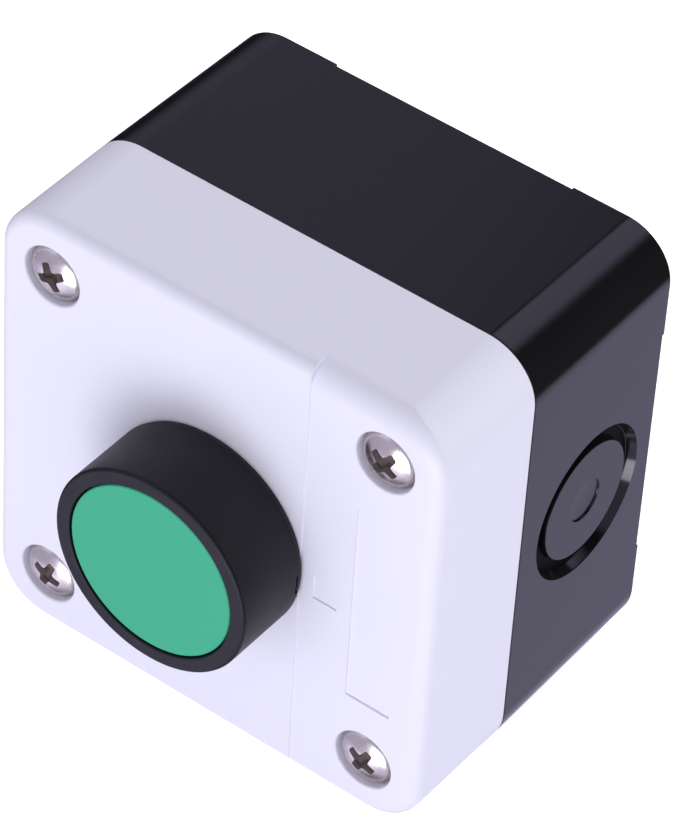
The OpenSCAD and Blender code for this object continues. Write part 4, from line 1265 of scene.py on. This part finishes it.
def cross_cutter(name, reach, width, top, depth):
    """A cross recess: four tapering wings with flared inner corners, round a pointed middle."""
    bm = bmesh.new()

    def ring(scale, thin, level):
        outer = reach * scale
        half = width / 2 * thin
        tip = 0.16 * MM * thin
        flare = 0.42 * MM * thin
        edge = half + 0.06 * MM * thin
        hollow = half + flare * 0.35
        quarter = [
            (outer - tip, -half), (outer, tip - half), (outer, half - tip), (outer - tip, half),
            (half + flare, edge), (hollow, hollow), (edge, half + flare),
        ]
        points = []
        for turned in range(4):
            angle = math.radians(90 * turned)
            for x, y in quarter:
                across = x * math.cos(angle) - y * math.sin(angle)
                points.append(bm.verts.new((across, x * math.sin(angle) + y * math.cos(angle), level)))
        return points

    # Shares of the wings' reach and thickness, and the level
    rings = [
        ring(1.0, 1.12, top + PAST),
        ring(1.0, 1.12, top - 0.25 * MM),
        ring(0.93, 0.92, top - depth * 0.75),
        ring(0.35, 0.6, top - depth * 0.95),
    ]
    join_rings(bm, rings)
    bm.faces.new(rings[0])
    last = rings[-1]
    point = bm.verts.new((0, 0, top - depth))
    for here, corner in enumerate(last):
        bm.faces.new((corner, last[(here + 1) % len(last)], point))
    clean(bm)
    return new_object(name, bm)


def mark_recess_shade(screw, radius, rise, top, reach):
    """Marks how deep each point of the head lies in its recess: 0 at the rim, and 1 from a small depth on.
    The steel's painted shade follows this mark.
    """
    full_depth = 0.35 * MM
    marked = screw.data.attributes.new("recess", "FLOAT", "POINT")
    for point in screw.data.vertices:
        from_axis = math.hypot(point.co.x, point.co.y)
        below = 0.0
        if from_axis < reach:
            below = dome_level(from_axis, radius, rise, top) - point.co.z
        marked.data[point.index].value = min(1.0, max(0.0, below / full_depth))


class CoverScrews(bpy.types.Operator):
    """Makes one cover screw with its thread and cross recess, and puts a turned copy in each corner"""

    bl_idname = "control_box.cover_screws"
    bl_label = "Cover screws"

    def execute(self, context):
        s = context.scene.control_box_screws
        rise = SCREW_TOP - SCREW_SEAT - s.head_side
        head = [(s.head_radius - EASED, SCREW_SEAT), (s.head_radius, SCREW_SEAT + EASED)]
        ball = ball_radius(s.head_radius, rise)
        # The edge's arc touches the dome from inside, so its centre lies on a circle round the dome's centre
        edge_reach = s.head_radius - s.head_edge
        dome_end = math.asin(edge_reach / (ball - s.head_edge))
        edge_level = SCREW_TOP - ball + (ball - s.head_edge) * math.cos(dome_end)
        edge_steps = 9
        for step in range(edge_steps):
            angle = math.pi / 2 + (dome_end - math.pi / 2) * step / edge_steps
            across = edge_reach + s.head_edge * math.sin(angle)
            head.append((across, edge_level + s.head_edge * math.cos(angle)))
        dome_steps = 14
        for step in range(dome_steps):
            angle = dome_end * (1 - step / dome_steps)
            head.append((ball * math.sin(angle), SCREW_TOP - ball + ball * math.cos(angle)))
        pole = 0.05 * MM
        head.append((pole, SCREW_TOP))
        screw = screw_body("screw", head, s.thread_radius, s.pitch, SCREW_TIP, SCREW_SEAT)
        cutter = cross_cutter("cross", s.recess_reach, s.recess_width, SCREW_TOP, s.recess_depth)
        combine(screw, [cutter], "DIFFERENCE")
        shade(screw)
        # This mark darkens the cross recess with painted shade
        mark_recess_shade(screw, s.head_radius, rise, SCREW_TOP, s.recess_reach + FULL)
        places = [(x, y, 0, angle) for x, y, angle in screw_places(s)]
        steel = stainless()
        screws = copied("cover_screw_set", screw, places, steel)
        finish(screws, steel, "box", "stainless_steel", "cover_screws")
        return {"FINISHED"}


class PillarInserts(bpy.types.Operator):
    """Makes one knurled brass insert and puts a copy in each pillar of the base"""

    bl_idname = "control_box.pillar_inserts"
    bl_label = "Pillar inserts"

    def execute(self, context):
        s = context.scene.control_box_screws
        high = INSERT_FRONT - INSERT_BACK
        # A groove round the middle parts two knurled bands, which take up most of the length beside it
        waist = 0.8 * MM
        knurled_share = 0.8
        knurl_depth = 0.25 * MM
        ridge_width = 0.28 * MM
        root = s.insert_radius - knurl_depth
        middle = (INSERT_BACK + INSERT_FRONT) / 2
        section = [
            (s.hole_radius, INSERT_BACK, 0),
            (root, INSERT_BACK, SOFT),
            (root, middle - waist, 0),
            (root - SOFT, middle - waist, 0),
            (root - SOFT, middle + waist, 0),
            (root, middle + waist, 0),
            (root, INSERT_FRONT, CRISP),
            (s.hole_radius, INSERT_FRONT, SOFT),
            (s.hole_radius, INSERT_BACK, 0),
        ]
        ring = swept("insert_ring", section, steps=12)
        band = (high / 2 - waist) * knurled_share
        brass = turned_brass()
        ridges = ridges_tree()
        for level in (middle - waist - band / 2 - SOFT, middle + waist + band / 2 + SOFT):
            knurled = grown("knurled", ring.data.copy(), ridges, {
                "Ridges": s.ridges,
                "Radius": root,
                "Ridge Size": (2 * (s.insert_radius - root), ridge_width, band),
                "Level": level,
                "Finish": brass,
            })
            bpy.data.objects.remove(ring)
            ring = knurled
        places = [(x, y, 0, 0) for x, y, _ in screw_places(s)]
        inserts = copied("pillar_insert_set", ring, places, brass)
        finish(inserts, brass, "box", "brass", "pillar_inserts")
        return {"FINISHED"}


class Springs(bpy.types.Operator):
    """Winds the three compression springs and puts each on its body"""

    bl_idname = "control_box.springs"
    bl_label = "Springs"

    def execute(self, context):
        s = context.scene.control_box_springs
        tree = coil_tree()
        steel = spring_wire()
        press = TRAVELS["button_press"]
        slide = TRAVELS["carrier_slide"]
        # The bridge's spring rides on the carrier, so it shortens by what the bridge stays behind
        squeeze = slide - TRAVELS["bridge_slide"]
        springs = (
            ("return_spring", s.return_wire, s.return_turns, "box", "button_press", False, press),
            ("carrier_spring", s.carrier_wire, s.carrier_turns, "box", "carrier_slide", False, slide),
            ("bridge_spring", s.bridge_wire, s.bridge_turns, "carrier", "bridge_slide", True, squeeze),
        )
        for node, wire, turns, body, joint, front_fixed, shortening in springs:
            back, front = depths(node)
            made = grown(node + "_coil", bpy.data.meshes.new("seat"), tree, {
                "Mean Radius": half_width(node) - wire / 2,
                "Wire Radius": wire / 2,
                "Turns": turns,
                "Length": front - back,
                "Level": back,
                "Finish": steel,
            })
            shade(made)
            finish(made, steel, body, "stainless_steel", node)
            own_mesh(made)
        return {"FINISHED"}


class InnerFinishes(bpy.types.Operator):
    """Gives the measured inner pieces their finishes"""

    bl_idname = "control_box.inner_finishes"
    bl_label = "Inner finishes"

    def execute(self, context):
        s = context.scene.control_box_button
        rubber = seal_nitrile()
        steel = stainless()
        zinc = zinc_plate()
        brass = turned_brass()
        silver = silver_contact()
        block_plastic = block_polyamide()
        finishes = {
            "cover_gasket": rubber,
            "cover_screw_seals": rubber,
            "stem_seal": rubber,
            "button_stem": natural_acetal(),
            "stem_retaining_ring": steel,
            "fixing_collar": bezel_polyamide(s.bezel_colour),
            "collar_screw": steel,
            "collar_nut": zinc,
            "contact_block_housing": block_plastic,
            "contact_block_cover": block_plastic,
            "contact_carrier": carrier_polyamide(),
            "contact_bridge": brass,
            "bridge_contact_tips": silver,
            "fixed_contacts": brass,
            "fixed_contact_tips": silver,
            "terminal_clamps": zinc,
            "terminal_screws": zinc,
        }
        for node, material in finishes.items():
            piece = frame["nodes"][node]
            for place in piece.material_slots:
                place.material = material
        return {"FINISHED"}


# Direction and brightness of each large soft panel round the box, as light on it
SOFT_PANELS = (
    ((0, -1, 0), 1.78),
    ((0.7, 0.7, 0), 2.37),
    ((0, 0.7, 0.7), 1.42),
    ((-1, 0, 0), 0.25),
    ((0, 0, -1), 0.34),
)
# Angles from a soft panel's middle, in degrees, where it begins to fade and where it ends
SOFT_PANEL_EDGE = (15, 45)
# Soft round cards that only reflections see: a direction, and the same two angles
CARDS = {
    "face card": ((-0.42, -0.60, -0.68), 8, 26),
    "lamp card": ((0.193, -0.927, -0.322), 0, 22),
    "shade below": ((-0.1, -0.1, -0.99), 12, 26),
    "shade left": ((-0.85, 0.2, -0.5), 14, 32),
}
# Edges of the other things in reflections: the part of a direction that each follows, its start and its end
EDGES = {
    "table": ("height", -0.44, -0.56),
    "front": ("depth", -0.1, -0.4),
    "wall side": ("across", -0.37, -0.41),
    "wall height": ("height", -0.1, 0.55),
    "panel left": ("across", -0.33, -0.29),
    "panel right": ("across", 0.45, 0.2),
    "panel height": ("height", 0.5, 0.6),
    "panel depth": ("depth", 0.2, 0.45),
}
# Shares of light that the two shades take, and the brightness of the panel above
SHADE_BELOW = 0.8
SHADE_LEFT = 0.4
PANEL_LEVEL = 1.15
# The key lamp's place and width in metres
KEY_PLACE = (0.15, -0.72, -0.25)
KEY_SIZE = 0.42
# How far the floor reaches to each side, and the nearest thing that the camera sees, in metres
FLOOR_REACH = 6
NEAREST = 0.01
# Width of the camera's sensor in millimetres
SENSOR_WIDTH = 36


class Studio(bpy.types.Operator):
    """Sets the camera, the pale floor, the white room and the key lamp"""

    bl_idname = "control_box.studio"
    bl_label = "Studio"

    def camera(self, s):
        """The camera, turned round the point that it looks at."""
        facing = Matrix.Rotation(s.azimuth, 4, "Z") @ Matrix.Rotation(math.pi / 2 - s.elevation, 4, "X")
        facing = facing @ Matrix.Rotation(s.roll, 4, "Z")
        place = Matrix.Translation(s.aim) @ facing @ Matrix.Translation((0, 0, s.distance))
        lens = bpy.data.cameras.new("camera")
        lens.lens = s.focal_length
        lens.sensor_width = SENSOR_WIDTH
        lens.clip_start = NEAREST
        camera = bpy.data.objects.new("camera", lens)
        bpy.context.scene.collection.objects.link(camera)
        camera.matrix_world = place
        bpy.context.scene.camera = camera

    def floor(self, s):
        """A large plain floor under the box. Lamps shine through it, and reflections see the room's table."""
        low = cad_box[0][2]
        bm = bmesh.new()
        bmesh.ops.create_grid(bm, x_segments=1, y_segments=1, size=FLOOR_REACH)
        bm.transform(Matrix.Translation((0, 0, low)))
        floor = new_object("floor", bm)
        floor.data.materials.append(floor_paint(s.floor_colour, s.floor_lift))
        floor.visible_glossy = False
        floor.visible_shadow = False

    def room(self, s):
        """A room that the camera sees white, with soft light, and a table, wall and cards in reflections."""
        world = bpy.data.worlds.new("room")
        bpy.context.scene.world = world
        world.use_nodes = True
        tree = world.node_tree
        tree.nodes.clear()
        path = add(tree, "ShaderNodeLightPath")
        ray = add(tree, "ShaderNodeTexCoord").outputs["Generated"]
        split = add(tree, "ShaderNodeSeparateXYZ", {"Vector": ray}).outputs
        parts = dict(zip(("across", "depth", "height"), split))
        fades = {name: (parts[part], start, end) for name, (part, start, end) in EDGES.items()}
        levels = {
            "table": s.table, "front": s.front, "wall side": s.wall, "face card": s.face_card,
            "lamp card": s.lamp_card, "shade below": SHADE_BELOW, "shade left": SHADE_LEFT,
        }
        cards = dict(CARDS)
        soft_panels = [f"soft panel {number}" for number in range(len(SOFT_PANELS))]
        for name, (direction, share) in zip(soft_panels, SOFT_PANELS):
            cards[name] = (direction, *SOFT_PANEL_EDGE)
            levels[name] = share
        for name, (direction, inner, outer) in cards.items():
            facing = add(tree, "ShaderNodeVectorMath", {
                0: ray, 1: Vector(direction).normalized()
            }, operation="DOT_PRODUCT").outputs["Value"]
            fades[name] = (facing, math.cos(math.radians(outer)), math.cos(math.radians(inner)))
        got = {"light": s.surround}
        for name, (value, start, end) in fades.items():
            got[name] = add(tree, "ShaderNodeMapRange", {
                "Value": value, "From Min": start, "From Max": end, "To Min": 0.0,
                "To Max": levels.get(name, 1.0)
            }, interpolation_type="SMOOTHSTEP").outputs["Result"]
        # Each value, and what a maths node makes it of
        for name, operation, *terms in (
            ("table", "ADD", "table", "face card"),
            ("front", "ADD", "front", "lamp card"),
            ("below", "MAXIMUM", "table", "front"),
            ("light below", "SUBTRACT", 1.0, "shade below"),
            ("light left", "SUBTRACT", 1.0, "shade left"),
            ("unshaded", "MULTIPLY", "light below", "light left"),
            ("below", "MULTIPLY", "below", "unshaded"),
            ("wall", "MULTIPLY", "wall side", "wall height"),
            ("panel", "MULTIPLY", "panel left", "panel right"),
            ("panel", "MULTIPLY", "panel", "panel height"),
            ("panel", "MULTIPLY", "panel", PANEL_LEVEL),
            ("panel", "MULTIPLY", "panel", "panel depth"),
            ("above", "ADD", "panel", "wall"),
            ("room", "ADD", "below", "above"),
            ("room", "ADD", "room", s.gloom),
            *(("light", "ADD", panel, "light") for panel in soft_panels),
        ):
            values = {at: got.get(term, term) for at, term in enumerate(terms)}
            got[name] = add(tree, "ShaderNodeMath", values, operation=operation).outputs[0]
        glossy = add(tree, "ShaderNodeBackground", {"Color": (*s.tint, 1), "Strength": got["room"]})
        soft = add(tree, "ShaderNodeBackground", {"Color": (1, 1, 1, 1), "Strength": got["light"]})
        seen = add(tree, "ShaderNodeBackground", {"Color": (1, 1, 1, 1), "Strength": 1.0})
        lit = add(tree, "ShaderNodeMixShader", {
            0: path.outputs["Is Glossy Ray"], 1: soft.outputs[0], 2: glossy.outputs[0]
        })
        whole = add(tree, "ShaderNodeMixShader", {
            0: path.outputs["Is Camera Ray"], 1: lit.outputs[0], 2: seen.outputs[0]
        })
        add(tree, "ShaderNodeOutputWorld", {"Surface": whole.outputs[0]})

    def key_lamp(self, s):
        """A large square lamp that points at the box and makes no highlight."""
        light = bpy.data.lights.new("key", "AREA")
        light.shape = "SQUARE"
        light.size = KEY_SIZE
        light.energy = s.key_power
        light.specular_factor = 0
        lamp = bpy.data.objects.new("key", light)
        bpy.context.scene.collection.objects.link(lamp)
        facing = (Vector((0, -FACE / 2, 0)) - Vector(KEY_PLACE)).to_track_quat("-Z", "Y")
        lamp.matrix_world = Matrix.Translation(KEY_PLACE) @ facing.to_matrix().to_4x4()

    def execute(self, context):
        s = context.scene.control_box_studio
        context.scene.view_settings.view_transform = "Standard"
        self.camera(s)
        self.floor(s)
        self.room(s)
        self.key_lamp(s)
        return {"FINISHED"}


class ControlBoxPanel(bpy.types.Panel):
    """Lists the pieces of the control box in the sidebar"""

    bl_idname = "CONTROLBOX_PT_pieces"
    bl_label = "Control Box"
    bl_space_type = "VIEW_3D"
    bl_region_type = "UI"
    bl_category = "Control Box"

    def draw(self, context):
        for operator in OPERATORS:
            self.layout.operator(operator.bl_idname)
        for name, group in SETTINGS.items():
            box = self.layout.box()
            for key in group.__annotations__:
                box.prop(getattr(context.scene, name), key)


SETTINGS = {
    "control_box_housing": HousingSettings,
    "control_box_knockout": KnockoutSettings,
    "control_box_face": FaceSettings,
    "control_box_button": ButtonSettings,
    "control_box_screws": ScrewSettings,
    "control_box_springs": SpringSettings,
    "control_box_studio": StudioSettings,
}
OPERATORS = (
    Studio, CoverShell, BaseShell, ButtonBezel, BezelGasket, ButtonCap, CoverScrews, PillarInserts, Springs,
    InnerFinishes,
)


def register():
    for group in SETTINGS.values():
        bpy.utils.register_class(group)
    for name, group in SETTINGS.items():
        setattr(bpy.types.Scene, name, bpy.props.PointerProperty(type=group))
    for made in (*OPERATORS, ControlBoxPanel):
        bpy.utils.register_class(made)


def unregister():
    for made in (ControlBoxPanel, *reversed(OPERATORS)):
        bpy.utils.unregister_class(made)
    for name, group in reversed(SETTINGS.items()):
        delattr(bpy.types.Scene, name)
        bpy.utils.unregister_class(group)


def main():
    register()
    for operator in OPERATORS:
        family, name = operator.bl_idname.split(".")
        getattr(getattr(bpy.ops, family), name)()


if __name__ == "__main__":
    main()
